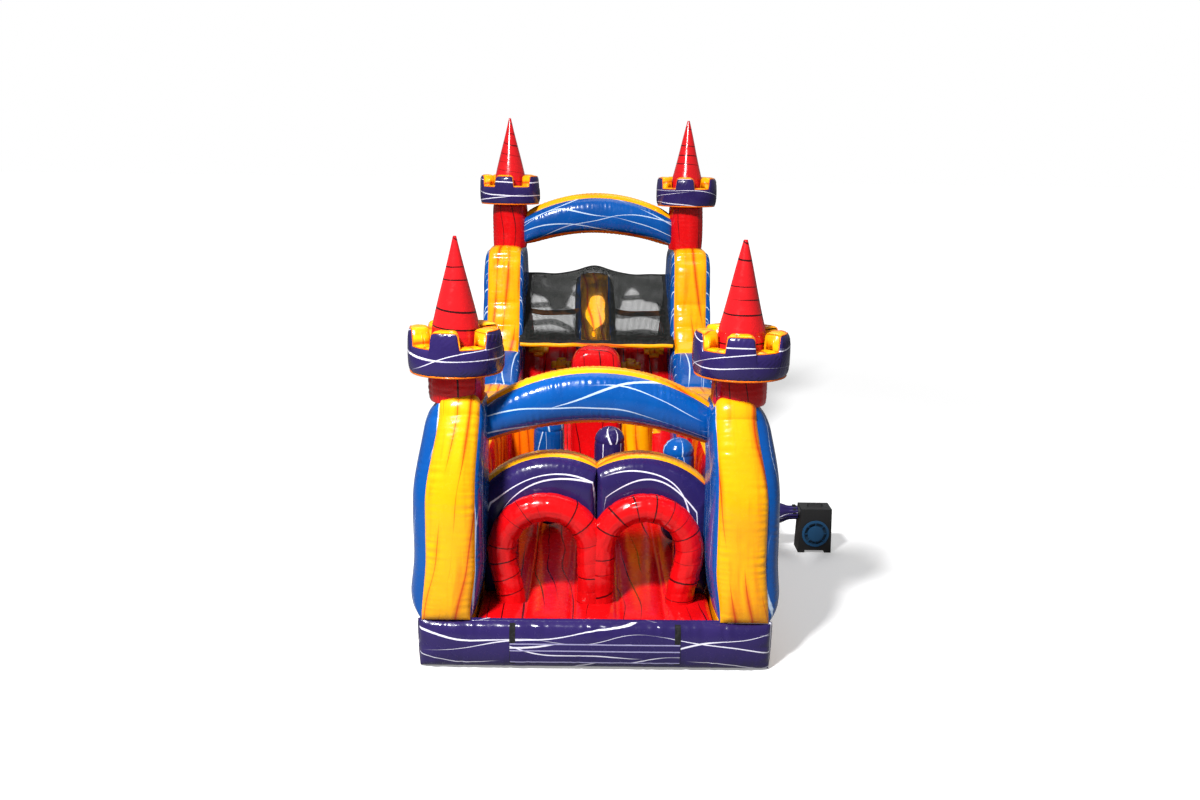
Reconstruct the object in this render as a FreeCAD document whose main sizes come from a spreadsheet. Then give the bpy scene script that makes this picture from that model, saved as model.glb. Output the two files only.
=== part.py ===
import FreeCAD, Part
import math
import os
import Sketcher

# A two-lane inflatable obstacle course: an entrance with two tunnel arches, leaning pillars, a climbing
# wall under a safety net, a slide, four castle towers, and the blower that keeps it full of air.
#
# Millimetres. X runs across the lanes, Y runs from the entrance to the end of the slide, Z is up.
# The origin is on the ground at the middle of the unit's footprint, with the blower left out of it.
# "back" is a distance behind the entrance face, so Y is that distance less half the unit's length.

# ---------------------------------------------------------------------------------------------------
# Driving dimensions: the spreadsheet's name for each, its value and what it measures
# ---------------------------------------------------------------------------------------------------

SIZES = [
    ("unit_length", 12000, "entrance face to the far side of the rear bumper"),
    ("unit_width", 3660, "over both side walls"),
    ("lane_half", 1230, "centre line to the inner face of a side wall"),
    ("air_skin", 25, "thickness that stands for the skin of an air chamber"),
    ("panel_depth", 130, "entrance panel, front to back"),
    ("panel_height", 530, "entrance panel and side bases"),
    ("floor_valley", 455, "floor height between two tubes"),
    ("floor_rise", 50, "how far a floor tube stands above the valleys"),
    ("floor_end", 6300, "back of the floor, where the climb starts"),
    ("column_depth", 1150, "front column, front to back"),
    ("column_top", 2740, "top of a front column"),
    ("column_bend", 1500, "height where a column starts to curve back"),
    ("column_step", 40, "how far the face has gone back at that height"),
    ("column_shoulder", 430, "back of the curve at the column's top"),
    ("side_wall_top", 1760, "rim of a side wall between the towers"),
    ("rear_wall_front", 6000, "where the high rear walls begin"),
    ("rear_knee_back", 6950, "where the rear rim turns up"),
    ("rear_knee_top", 2300, "height of that turn"),
    ("rear_face_back", 7420, "front of the rear tower's seat"),
    ("rear_seat_back", 8620, "back of the rear tower's seat"),
    ("rear_seat_top", 3700, "top of the rear walls"),
    ("rear_wall_end", 8900, "back of the rear walls"),
    ("rear_wall_end_top", 3200, "height of the rear walls at their back"),
    ("slide_wall_low_back", 11400, "where the slide's side wall stops falling"),
    ("slide_wall_low_top", 1450, "its height there"),
    ("bumper_depth", 300, "rear bumper, front to back"),
    ("bumper_top", 1100, "top of the rear bumper"),
    ("rear_base_top", 500, "top of the base under the climb and slide"),
    ("platform_top", 2050, "platform at the top of the climb"),
    ("climb_top_back", 7900, "front edge of the platform"),
    ("slide_top_back", 9000, "back edge of the platform"),
    ("slide_foot_back", 11100, "foot of the slide's slope"),
    ("slide_foot_top", 620, "height of the slide there"),
    ("slide_end_top", 560, "height of the slide at the bumper"),
    ("divider_half", 240, "half the width of the dividers between the lanes"),
    ("divider_front_top", 1880, "centre divider's rim at its front"),
    ("divider_rear_top", 3050, "centre divider's rim at its highest"),
    ("divider_level", 150, "level length at the divider's highest point"),
    ("slide_divider_low", 1150, "slide divider's rim at the bumper"),
    ("nose_half", 380, "half the width of the rounded front of the divider"),
    ("nose_depth", 450, "front to back"),
    ("nose_top", 2330, "top of the rounded front"),
    ("wall_back", 850, "front of the tunnel wall"),
    ("wall_depth", 400, "tunnel wall, front to back"),
    ("wall_edge_top", 1730, "tunnel wall's height at the side walls"),
    ("wall_valley_top", 1960, "its height at the centre crease"),
    ("wall_hump_radius", 980, "radius of each hump of the tunnel wall"),
    ("ring_pitch", 505, "centre line to the middle of a tunnel hole"),
    ("ring_tube", 150, "radius of the tube round a tunnel hole"),
    ("ring_spring", 1065, "height where the tube starts to arch"),
    ("ring_back", 700, "middle of that tube behind the entrance face"),
    ("arch_back", 650, "front of the front arch"),
    ("arch_depth", 470, "both arches, front to back"),
    ("front_arch_top", 3070, "front arch, top at the centre"),
    ("front_arch_under", 2450, "front arch, underside at the centre"),
    ("front_arch_rise", 420, "how far its top drops to the columns"),
    ("front_arch_dip", 260, "how far its underside drops to the columns"),
    ("rear_arch_back", 7770, "front of the rear arch"),
    ("rear_arch_reach", 1300, "half the rear arch's length before it meets the towers"),
    ("rear_arch_top", 4570, "rear arch, top at the centre"),
    ("rear_arch_under", 3950, "rear arch, underside at the centre"),
    ("rear_arch_rise", 375, "how far its top drops to its ends"),
    ("rear_arch_dip", 240, "how far its underside drops to its ends"),
    ("tower_half", 1465, "centre line to a tower's axis"),
    ("front_tower_back", 700, "front towers' axes"),
    ("rear_tower_back", 8000, "rear towers' axes"),
    ("tower_radius", 285, "round neck of a tower"),
    ("front_neck", 270, "front tower's neck, column to crown"),
    ("rear_neck", 680, "rear tower's neck, wall to crown"),
    ("cone_radius", 252, "spire's cone at its foot, inside the crown"),
    ("cone_collar", 400, "height of its straight foot"),
    ("cone_height", 1380, "spire's cone with that foot"),
    ("cone_tip", 12, "radius of the cone's point"),
    ("crown_radius", 485, "outside of a crown"),
    ("crown_bore", 270, "inside of a crown"),
    ("crown_band", 280, "crown below its merlons"),
    ("merlon_height", 165, "merlons"),
    ("merlon_angle", 35, "width of one merlon in degrees"),
    ("net_front_back", 6850, "front hem of the safety net"),
    ("net_front_top", 2200, "height of that hem"),
    ("net_rear_top", 3140, "height of the net at the end of the rear walls"),
    ("net_thick", 12, "cord mesh with its hem"),
    ("hold_wide", 170, "climbing hold across the lane"),
    ("hold_tall", 140, "climbing hold along the slope"),
    ("hold_thick", 60, "how far a hold stands out"),
    ("strip_half", 850, "centre line to the middle of a hook-and-loop strip"),
    ("strip_wide", 60, "hook-and-loop strip"),
    ("strip_low", 90, "lower end of the strips and of the banner"),
    ("strip_high", 500, "upper end of the strips"),
    ("banner_high", 310, "upper edge of the banner"),
    ("banner_thick", 6, "banner sheet with its clear pocket"),
    ("strip_thick", 10, "hook-and-loop strip with its backing"),
    ("lean_gap", 4, "pillar foot above the floor's crest"),
    ("blower_mid", 2970, "centre line to the blower's shaft"),
    ("blower_back", 3500, "front of the blower"),
    ("blower_depth", 300, "blower housing, front to back"),
    ("blower_shaft_top", 270, "height of the blower's shaft"),
    ("blower_half", 222, "half the width of the housing at its foot"),
    ("blower_shoulder_half", 205, "half the width at its top"),
    ("blower_low", 32, "underside of the housing"),
    ("blower_high", 610, "top of the housing"),
    ("shell_wall", 6, "moulded plastic wall"),
    ("outlet_cut", 72, "length of the hole cut for the outlet"),
    ("shaft_hole", 18, "radius of the hole round the shaft in the back shell"),
    ("foot_wide", 89, "rubber foot across the blower"),
    ("handle_bar", 12, "thickness of the handle and its legs"),
    ("intake_radius", 150, "hole in the front shell"),
    ("grille_radius", 182, "blue intake ring, outside"),
    ("grille_thick", 16, "intake ring"),
    ("grille_disc", 108, "centre disc of the grille"),
    ("fan_radius", 168, "impeller"),
    ("fan_depth", 130, "impeller"),
    ("fan_gap", 12, "impeller to the front shell"),
    ("hub_radius", 18, "impeller's hub"),
    ("hub_length", 36, "impeller's hub"),
    ("shaft_radius", 9, "motor shaft"),
    ("shaft_gap", 0.5, "running clearance round the shaft"),
    ("motor_radius", 78, "motor can"),
    ("motor_depth", 95, "motor can behind the back shell"),
    ("plate_wide", 120, "switch plate"),
    ("plate_tall", 72, "switch plate"),
    ("plate_middle", 475, "height of the switch plate's middle"),
    ("plate_margin", 12, "edge of the switch plate to what sits on it"),
    ("inlet_wide", 42, "power inlet, both ways"),
    ("inlet_deep", 18, "power inlet, front to back"),
    ("rocker_wide", 20, "switch rocker"),
    ("rocker_tall", 28, "switch rocker"),
    ("rocker_sole", 4, "switch rocker's corners from its pivot"),
    ("rocker_out", 7, "switch rocker's pivot from the plate"),
    ("nozzle_radius", 75, "outside of the outlet nozzle"),
    ("nozzle_reach", 80, "nozzle outside the housing"),
    ("nozzle_into", 12, "how far its pipe runs on past the housing's shoulder"),
    ("nozzle_top", 520, "height of the nozzle's axis"),
    ("duct_radius", 135, "inflation tube at the side wall"),
    ("duct_full", 470, "length at that radius"),
    ("duct_sleeve", 95, "straight end of the inflation tube"),
    ("sleeve_cover", 50, "how much of the nozzle the tube's end covers"),
    ("sleeve_radius", 83, "outside of that sleeve"),
    ("strap_wide", 45, "strap round the sleeve"),
    ("strap_thick", 6, "strap"),
    ("ring_bend", 34, "middle of the half-round wire of an anchor ring"),
    ("ring_wire", 5, "radius of that wire"),
    ("ring_bore", 6.5, "radius of the loop round a ring's bar"),
    ("tab_top", 110, "height of an anchor ring's bar"),
    ("tab_wide", 50, "webbing tab along the wall"),
    ("tab_out", 24, "ring's bar outside the wall"),
    ("zip_back", 9600, "start of the deflation zip"),
    ("zip_length", 800, "deflation zip"),
    ("zip_low", 215, "lower edge of the zip"),
    ("zip_wide", 60, "zip tape"),
    ("zip_thick", 6, "zip tape"),
    ("slider_length", 40, "zip slider"),
    ("slider_gap", 1, "slider to its tape"),
]

FLOOR_TUBES = 5
MERLONS = 5
FIRST_MERLON = -98.0
HOLD_STEPS = (0.22, 0.40, 0.58, 0.76, 0.90)
HOLD_COLUMNS = (0.66, 0.26)
FAN_BLADES = 12
GRILLE_BARS = 8
ROCKER_TILT = -8.0

# Pillars that lean when they are pushed: name, X, distance back, radius and height of the top
PILLARS = [
    ("pillar_purple", 170, 3100, 200, 1830),
    ("pillar_blue", -600, 3050, 200, 2000),
    ("pillar_yellow", 560, 4050, 215, 1950),
    ("pillar_blue_side", 1005, 2500, 200, 1850),
    ("pillar_orange", -985, 4600, 215, 1950),
]

# Anchor rings: name, side and distance back
ANCHORS = [
    ("anchor_ring_front_left", -1, 1900),
    ("anchor_ring_front_right", 1, 1900),
    ("anchor_ring_rear_left", -1, 11000),
    ("anchor_ring_rear_right", 1, 11000),
]

SIDES = (("left", -1), ("right", 1))

doc = FreeCAD.newDocument("ObstacleCourse")
sheet = doc.addObject("Spreadsheet::Sheet", "Dims")
nodes = []


# ---------------------------------------------------------------------------------------------------
# Sizes that carry both their value and their spreadsheet expression
# ---------------------------------------------------------------------------------------------------

class Size:
    """A number together with the expression that gives it from the sheet's cells."""

    def __init__(self, value, text):
        self.value = value
        self.text = text

    def __add__(self, other):
        return joined(self, "+", other, self.value + number(other))

    def __radd__(self, other):
        return joined(other, "+", self, number(other) + self.value)

    def __sub__(self, other):
        return joined(self, "-", other, self.value - number(other))

    def __rsub__(self, other):
        return joined(other, "-", self, number(other) - self.value)

    def __mul__(self, other):
        return joined(self, "*", other, self.value * number(other))

    def __rmul__(self, other):
        return joined(other, "*", self, number(other) * self.value)

    def __truediv__(self, other):
        return joined(self, "/", other, self.value / number(other))

    def __neg__(self):
        return joined(0, "-", self, -self.value)


def number(item):
    return item.value if isinstance(item, Size) else float(item)


def words(item):
    return item.text if isinstance(item, Size) else repr(float(item))


def joined(first, sign, second, value):
    return Size(value, "(%s %s %s)" % (words(first), sign, words(second)))


def arc_radius(half, rise):
    """Radius of an arc over twice half that rises by rise at its middle."""
    return (half * half + rise * rise) / (2 * rise)


class Sheet:
    """Writes the driving dimensions to the spreadsheet and hands each back as a Size."""

    def __init__(self, table):
        for row, (name, value, note) in enumerate(table, start=1):
            sheet.set("A%d" % row, name)
            sheet.set("B%d" % row, str(value))
            sheet.set("C%d" % row, note)
            sheet.setAlias("B%d" % row, name)
            setattr(self, name, Size(float(value), "Dims." + name))


dim = Sheet(SIZES)
doc.recompute()


# ---------------------------------------------------------------------------------------------------
# Building blocks
# ---------------------------------------------------------------------------------------------------

def bind(item, **sizes):
    for name, size in sizes.items():
        item.setExpression(name, words(size))


def stand(item, x=0, back=0, z=0):
    """Puts an object's own origin at X, at a distance behind the entrance face, and at a height."""
    item.setExpression("Placement.Base.x", words(x))
    item.setExpression("Placement.Base.y", words(back - dim.unit_length / 2))
    item.setExpression("Placement.Base.z", words(z))
    return item


def turned(item, axis, angle):
    item.Placement = FreeCAD.Placement(FreeCAD.Vector(), FreeCAD.Rotation(FreeCAD.Vector(*axis), angle))
    return item


def kept(item, label):
    """Gives a finished sub-part its node name."""
    item.Label = label
    nodes.append(item)
    return item


def low_x(sign, inner, width):
    """The lower X of a piece of some width that starts at inner on one side of the centre line."""
    return inner if sign > 0 else -(inner + width)


def box(x, back, z, wide, deep, tall):
    item = doc.addObject("Part::Box", "Block")
    bind(item, Length=wide, Width=deep, Height=tall)
    return stand(item, x, back, z)


def drum(x, back, z, radius, length, axis=(0, 0, 1), angle=0.0):
    """A cylinder whose own Z axis is turned by an angle about an axis."""
    item = turned(doc.addObject("Part::Cylinder", "Drum"), axis, angle)
    bind(item, Radius=radius, Height=length)
    return stand(item, x, back, z)


def drum_back(x, back, z, radius, length):
    """A cylinder that runs backwards along Y."""
    return drum(x, back, z, radius, length, (1, 0, 0), -90.0)


def cut(base, tool):
    item = doc.addObject("Part::Cut", "Cut")
    item.Base = base
    item.Tool = tool
    return item


def fused(*shapes):
    item = doc.addObject("Part::MultiFuse", "Fused")
    item.Shapes = list(shapes)
    return item


def grouped(shapes):
    item = doc.addObject("Part::Compound", "Group")
    item.Links = list(shapes)
    return item


def chamber(outer):
    """Turns a solid into a closed skin with air inside."""
    air = doc.addObject("Part::Offset", "Air")
    air.Source = outer
    air.Mode = 0
    air.Join = 2
    air.setExpression("Value", words(-dim.air_skin))
    return cut(outer, air)


def arc_between(start, end, radius, side):
    """An arc from start to end that bulges to the left (side 1) or right (side -1) of the way."""
    middle = (start + end) * 0.5
    way = end - start
    half = way.Length / 2
    left = FreeCAD.Vector(-way.y, way.x, 0).normalize()
    centre = middle - left * (side * math.sqrt(max(radius * radius - half * half, 0.0)))
    angles = [math.atan2(point.y - centre.y, point.x - centre.x) for point in (start, end)]
    if side > 0:
        angles.reverse()
    if angles[1] < angles[0]:
        angles[1] += 2 * math.pi
    circle = Part.Circle(centre, FreeCAD.Vector(0, 0, 1), radius)
    return Part.ArcOfCircle(circle, angles[0], angles[1])


def draw_loop(sketch, points, arcs):
    """Draws one closed outline and ties each corner, and each arc's radius, to its expression."""
    first = sketch.GeometryCount
    count = len(points)
    corners = [FreeCAD.Vector(number(x), number(y), 0) for x, y in points]
    starts = []
    for index in range(count):
        start = corners[index]
        end = corners[(index + 1) % count]
        if index in arcs:
            radius, side = arcs[index]
            sketch.addGeometry(arc_between(start, end, number(radius), side))
            starts.append(2 if side > 0 else 1)
        else:
            sketch.addGeometry(Part.LineSegment(start, end))
            starts.append(1)
    for index in range(count):
        following = (index + 1) % count
        sketch.addConstraint(Sketcher.Constraint(
            "Coincident", first + index, 3 - starts[index], first + following, starts[following]))
    for index, (x, y) in enumerate(points):
        for kind, size in (("DistanceX", x), ("DistanceY", y)):
            tie(sketch, Sketcher.Constraint(kind, first + index, starts[index], number(size)), size)
    for index, (radius, side) in arcs.items():
        tie(sketch, Sketcher.Constraint("Radius", first + index, number(radius)), radius)


def tie(sketch, constraint, size):
    index = sketch.addConstraint(constraint)
    if isinstance(size, Size):
        sketch.setExpression("Constraints[%d]" % index, size.text)


def new_sketch(body, role):
    sketch = body.newObject("Sketcher::SketchObject", "Outline")
    plane = next(item for item in body.Origin.OriginFeatures if item.Role == role)
    sketch.AttachmentSupport = [(plane, "")]
    sketch.MapMode = "FlatFace"
    return sketch


def plate(role, loops, thick, backwards):
    """A padded outline: loops is a list of (points, arcs), the first one outside and the rest holes."""
    body = doc.addObject("PartDesign::Body", "Plate")
    sketch = new_sketch(body, role)
    for points, arcs in loops:
        draw_loop(sketch, points, arcs)
    pad = body.newObject("PartDesign::Pad", "Pad")
    pad.Profile = sketch
    pad.Reversed = backwards
    bind(pad, Length=thick)
    return body


def side_plate(points, x, thick, arcs=None):
    """An outline in (back, height), thick along X from x."""
    return stand(plate("YZ_Plane", [(points, arcs or {})], thick, False), x, 0, 0)


def front_plate(loops, back, thick):
    """Outlines in (X, height), thick along Y from back."""
    return stand(plate("XZ_Plane", loops, thick, True), 0, back, 0)


def turning(points, arcs=None):
    """A solid of revolution about its own Z axis from an outline in (radius, height)."""
    body = doc.addObject("PartDesign::Body", "Turned")
    sketch = new_sketch(body, "XZ_Plane")
    draw_loop(sketch, points, arcs or {})
    spin = body.newObject("PartDesign::Revolution", "Revolution")
    spin.Profile = sketch
    spin.ReferenceAxis = (sketch, ["V_Axis"])
    spin.Angle = 360.0
    return body


# ---------------------------------------------------------------------------------------------------
# Base and floor
# ---------------------------------------------------------------------------------------------------

half_width = dim.unit_width / 2
wall_wide = half_width - dim.lane_half
bumper_back = dim.unit_length - dim.bumper_depth
floor_crest = dim.floor_valley + dim.floor_rise
column_seat = dim.panel_height


def build_front_panel():
    panel = box(-half_width, 0, 0, dim.unit_width, dim.panel_depth, dim.panel_height)
    kept(chamber(panel), "front_panel")


def build_banner():
    inner = dim.strip_half - dim.strip_wide / 2
    tall = dim.banner_high - dim.strip_low
    banner = box(-inner, -dim.banner_thick, dim.strip_low, inner * 2, dim.banner_thick, tall)
    kept(banner, "banner_panel")
    strips = []
    for name, sign in SIDES:
        x = low_x(sign, inner, dim.strip_wide)
        tall = dim.strip_high - dim.strip_low
        strips.append(box(x, -dim.strip_thick, dim.strip_low, dim.strip_wide, dim.strip_thick, tall))
    kept(grouped(strips), "banner_strips")


def build_floor():
    """The bouncing floor: a flat underside and a row of tubes on top."""
    tube = dim.lane_half * 2 / FLOOR_TUBES
    bulge = arc_radius(tube / 2, dim.floor_rise)
    points = [(-dim.lane_half, 0)]
    arcs = {}
    for index in range(FLOOR_TUBES + 1):
        points.append((tube * index - dim.lane_half, dim.floor_valley))
        if index < FLOOR_TUBES:
            arcs[index + 1] = (bulge, 1)
    points.append((dim.lane_half, 0))
    depth = dim.floor_end - dim.panel_depth
    kept(chamber(front_plate([(points, arcs)], dim.panel_depth, depth)), "floor_bed")


def build_bases():
    depth = bumper_back - dim.floor_end
    base = box(-dim.lane_half, dim.floor_end, 0, dim.lane_half * 2, depth, dim.rear_base_top)
    kept(chamber(base), "rear_base")
    for name, sign in SIDES:
        x = low_x(sign, dim.lane_half, wall_wide)
        depth = bumper_back - dim.panel_depth
        side = box(x, dim.panel_depth, 0, wall_wide, depth, dim.panel_height)
        kept(chamber(side), "side_base_" + name)


# ---------------------------------------------------------------------------------------------------
# Walls
# ---------------------------------------------------------------------------------------------------

def build_front_columns():
    points = [
        (0, column_seat),
        (dim.column_step, dim.column_bend),
        (dim.column_shoulder, dim.column_top),
        (dim.column_depth, dim.column_top),
        (dim.column_depth, column_seat),
    ]
    run = dim.column_shoulder - dim.column_step
    climb = dim.column_top - dim.column_bend
    arcs = {1: (arc_radius(climb, run), 1)}
    for name, sign in SIDES:
        x = low_x(sign, dim.lane_half, wall_wide)
        kept(chamber(side_plate(points, x, wall_wide, arcs)), "front_column_" + name)


def build_side_walls():
    depth = dim.rear_wall_front - dim.column_depth
    tall = dim.side_wall_top - column_seat
    for name, sign in SIDES:
        x = low_x(sign, dim.lane_half, wall_wide)
        wall = box(x, dim.column_depth, column_seat, wall_wide, depth, tall)
        kept(chamber(wall), "side_wall_" + name)


def build_rear_walls():
    points = [
        (dim.rear_wall_front, column_seat),
        (dim.rear_wall_front, dim.side_wall_top),
        (dim.rear_knee_back, dim.rear_knee_top),
        (dim.rear_face_back, dim.rear_seat_top),
        (dim.rear_seat_back, dim.rear_seat_top),
        (dim.rear_wall_end, dim.rear_wall_end_top),
        (dim.rear_wall_end, column_seat),
    ]
    for name, sign in SIDES:
        x = low_x(sign, dim.lane_half, wall_wide)
        kept(chamber(side_plate(points, x, wall_wide)), "rear_wall_" + name)


def build_slide_walls():
    points = [
        (dim.rear_wall_end, column_seat),
        (dim.rear_wall_end, dim.rear_wall_end_top),
        (dim.slide_wall_low_back, dim.slide_wall_low_top),
        (bumper_back, dim.slide_wall_low_top),
        (bumper_back, column_seat),
    ]
    for name, sign in SIDES:
        x = low_x(sign, dim.lane_half, wall_wide)
        kept(chamber(side_plate(points, x, wall_wide)), "slide_wall_" + name)


def build_bumper():
    bumper = box(-half_width, bumper_back, 0, dim.unit_width, dim.bumper_depth, dim.bumper_top)
    kept(chamber(bumper), "rear_bumper")


# ---------------------------------------------------------------------------------------------------
# Tunnel wall with its two holes, and the tubes round them
# ---------------------------------------------------------------------------------------------------

def tunnel_plate(inset):
    """The wall's outline, or the air inside it when it is drawn in by an inset."""
    reach = dim.lane_half - inset
    foot = floor_crest + inset
    half = dim.ring_pitch - dim.ring_tube + inset
    points = [
        (-reach, foot),
        (-reach, dim.wall_edge_top - inset),
        (0, dim.wall_valley_top - inset),
        (reach, dim.wall_edge_top - inset),
        (reach, foot),
    ]
    arcs = {1: (dim.wall_hump_radius, 1), 2: (dim.wall_hump_radius, 1)}
    for middle in (dim.ring_pitch, -dim.ring_pitch):
        hole = len(points)
        points += [
            (middle + half, foot),
            (middle + half, dim.ring_spring),
            (middle, dim.ring_spring + half),
            (middle - half, dim.ring_spring),
            (middle - half, foot),
        ]
        arcs[hole + 1] = (half, -1)
        arcs[hole + 2] = (half, -1)
    return front_plate([(points, arcs)], dim.wall_back + inset, dim.wall_depth - inset * 2)


def build_tunnel_wall():
    """A wall with two humps, standing on the floor's tubes, with an arched hole for each lane."""
    kept(cut(tunnel_plate(0), tunnel_plate(dim.air_skin)), "tunnel_wall")


def build_tunnel_rings():
    """Three upright tubes joined by two half-round ones."""
    shapes = []
    leg = dim.ring_spring - floor_crest
    for place in (-2, 0, 2):
        shapes.append(drum(dim.ring_pitch * place, dim.ring_back, floor_crest, dim.ring_tube, leg))
    for name, sign in SIDES:
        bend = turned(doc.addObject("Part::Torus", "Bend"), (1, 0, 0), 90.0)
        bind(bend, Radius1=dim.ring_pitch, Radius2=dim.ring_tube)
        bend.Angle3 = 180.0
        shapes.append(stand(bend, dim.ring_pitch * sign, dim.ring_back, dim.ring_spring))
    kept(fused(*shapes), "tunnel_rings")


# ---------------------------------------------------------------------------------------------------
# Arches between the towers
# ---------------------------------------------------------------------------------------------------

def arch_plate(half, top, under, rise, dip, back, depth):
    points = [
        (-half, under - dip),
        (-half, top - rise),
        (half, top - rise),
        (half, under - dip),
    ]
    arcs = {1: (arc_radius(half, rise), 1), 3: (arc_radius(half, dip), -1)}
    return front_plate([(points, arcs)], back, depth)


def build_arches(rear_necks):
    front = arch_plate(dim.lane_half, dim.front_arch_top, dim.front_arch_under,
                       dim.front_arch_rise, dim.front_arch_dip, dim.arch_back, dim.arch_depth)
    kept(chamber(front), "front_arch")
    skin = dim.air_skin
    reach = dim.rear_arch_reach
    rear = arch_plate(reach, dim.rear_arch_top, dim.rear_arch_under, dim.rear_arch_rise,
                      dim.rear_arch_dip, dim.rear_arch_back, dim.arch_depth)
    inner = dim.tower_half - dim.tower_radius - skin * 2
    share = (inner * inner) / (reach * reach)
    air = arch_plate(inner, dim.rear_arch_top - skin, dim.rear_arch_under + skin, dim.rear_arch_rise * share,
                     dim.rear_arch_dip * share, dim.rear_arch_back + skin, dim.arch_depth - skin * 2)
    kept(cut(cut(rear, fused(*rear_necks)), air), "rear_arch")


# ---------------------------------------------------------------------------------------------------
# Towers: a spire, which is a round neck with a cone on it, and a crown round its waist
# ---------------------------------------------------------------------------------------------------

def build_spire(label, x, back, seat, neck):
    points = [
        (0, 0),
        (dim.tower_radius, 0),
        (dim.tower_radius, neck),
        (dim.cone_radius, neck),
        (dim.cone_radius, neck + dim.cone_collar),
        (dim.cone_tip, neck + dim.cone_height),
        (0, neck + dim.cone_height),
    ]
    kept(chamber(stand(turning(points), x, back, seat)), label)


def build_crown(label, x, back, seat):
    """A thick ring with square teeth, open in the middle for the spire, with air in its band."""
    tall = dim.crown_band + dim.merlon_height
    skin = dim.air_skin
    hollow = dim.crown_band - skin * 2
    ring = cut(drum(x, back, seat, dim.crown_radius, tall), drum(x, back, seat, dim.crown_bore, tall))
    air = cut(drum(x, back, seat + skin, dim.crown_radius - skin, hollow),
              drum(x, back, seat + skin, dim.crown_bore + skin, hollow))
    pitch = 360.0 / MERLONS
    notches = []
    for index in range(MERLONS):
        start = FIRST_MERLON + pitch * index + number(dim.merlon_angle) / 2
        notch = drum(x, back, seat + dim.crown_band, dim.crown_radius * 2, tall, (0, 0, 1), start)
        bind(notch, Angle=pitch - dim.merlon_angle)
        notches.append(notch)
    kept(cut(cut(ring, fused(*notches)), air), label)


def build_towers():
    """The four towers; the rear necks are handed back for the rear arch to fit against."""
    rear_necks = []
    for name, sign in SIDES:
        x = dim.tower_half * sign
        front_crown = dim.column_top + dim.front_neck
        rear_crown = dim.rear_seat_top + dim.rear_neck
        build_spire("front_spire_" + name, x, dim.front_tower_back, dim.column_top, dim.front_neck)
        build_crown("front_crown_" + name, x, dim.front_tower_back, front_crown)
        build_spire("rear_spire_" + name, x, dim.rear_tower_back, dim.rear_seat_top, dim.rear_neck)
        build_crown("rear_crown_" + name, x, dim.rear_tower_back, rear_crown)
        below = dim.rear_seat_top - dim.tower_radius
        tall = dim.rear_neck + dim.tower_radius * 2
        rear_necks.append(drum(x, dim.rear_tower_back, below, dim.tower_radius, tall))
    return rear_necks


# ---------------------------------------------------------------------------------------------------
# Climb, platform, slide and the dividers between the two lanes
# ---------------------------------------------------------------------------------------------------

lane_wide = dim.lane_half - dim.divider_half
climb_run = dim.climb_top_back - dim.floor_end
climb_rise = dim.platform_top - dim.rear_base_top


def build_climb():
    points = [
        (dim.floor_end, dim.rear_base_top),
        (dim.climb_top_back, dim.platform_top),
        (dim.slide_top_back, dim.platform_top),
        (dim.slide_top_back, dim.rear_base_top),
    ]
    for name, sign in SIDES:
        x = low_x(sign, dim.divider_half, lane_wide)
        kept(chamber(side_plate(points, x, lane_wide)), "climb_wall_" + name)


def build_holds():
    """Blocks on the slope of both lanes, in two staggered columns."""
    slope = math.degrees(math.atan2(number(climb_rise), number(climb_run)))
    holds = []
    for name, sign in SIDES:
        for index, along in enumerate(HOLD_STEPS):
            share = HOLD_COLUMNS[index % 2]
            hold = turned(doc.addObject("Part::Box", "Hold"), (1, 0, 0), slope)
            bind(hold, Length=dim.hold_wide, Width=dim.hold_tall, Height=dim.hold_thick)
            x = low_x(sign, dim.divider_half + lane_wide * share, dim.hold_wide)
            back = dim.floor_end + climb_run * along
            holds.append(stand(hold, x, back, dim.rear_base_top + climb_rise * along))
    kept(grouped(holds), "climbing_holds")


def build_slide():
    points = [
        (dim.slide_top_back, dim.rear_base_top),
        (dim.slide_top_back, dim.platform_top),
        (dim.slide_foot_back, dim.slide_foot_top),
        (bumper_back, dim.slide_end_top),
        (bumper_back, dim.rear_base_top),
    ]
    bed = side_plate(points, -dim.lane_half, dim.lane_half * 2)
    kept(chamber(bed), "slide_bed")


def build_dividers():
    wide = dim.divider_half * 2
    crest_back = dim.slide_top_back - dim.divider_level
    centre = [
        (dim.floor_end, dim.rear_base_top),
        (dim.floor_end, dim.divider_front_top),
        (crest_back, dim.divider_rear_top),
        (dim.slide_top_back, dim.divider_rear_top),
        (dim.slide_top_back, dim.rear_base_top),
    ]
    kept(chamber(side_plate(centre, -dim.divider_half, wide)), "centre_divider")
    slide = [
        (dim.slide_top_back, dim.platform_top),
        (dim.slide_top_back, dim.divider_rear_top),
        (bumper_back, dim.slide_divider_low),
        (bumper_back, dim.slide_end_top),
        (dim.slide_foot_back, dim.slide_foot_top),
    ]
    kept(chamber(side_plate(slide, -dim.divider_half, wide)), "slide_divider")
    tall = dim.nose_top - floor_crest
    nose_back = dim.floor_end - dim.nose_depth
    nose = box(-dim.nose_half, nose_back, floor_crest, dim.nose_half * 2, dim.nose_depth, tall)
    kept(chamber(nose), "divider_nose")


def build_net():
    points = [
        (dim.net_front_back, dim.net_front_top),
        (dim.rear_wall_end, dim.net_rear_top),
        (dim.rear_wall_end, dim.net_rear_top + dim.net_thick),
        (dim.net_front_back, dim.net_front_top + dim.net_thick),
    ]
    kept(side_plate(points, -dim.lane_half, dim.lane_half * 2), "safety_net")


# ---------------------------------------------------------------------------------------------------
# Pillars that lean, anchor rings and the deflation zip
# ---------------------------------------------------------------------------------------------------

def round_ended(x, back, low, radius, top):
    """An upright cylinder with a half sphere at each end."""
    tall = top - low
    points = [
        (0, 0),
        (radius, radius),
        (radius, tall - radius),
        (0, tall),
    ]
    arcs = {0: (radius, -1), 2: (radius, -1)}
    return stand(turning(points, arcs), x, back, low)


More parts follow.
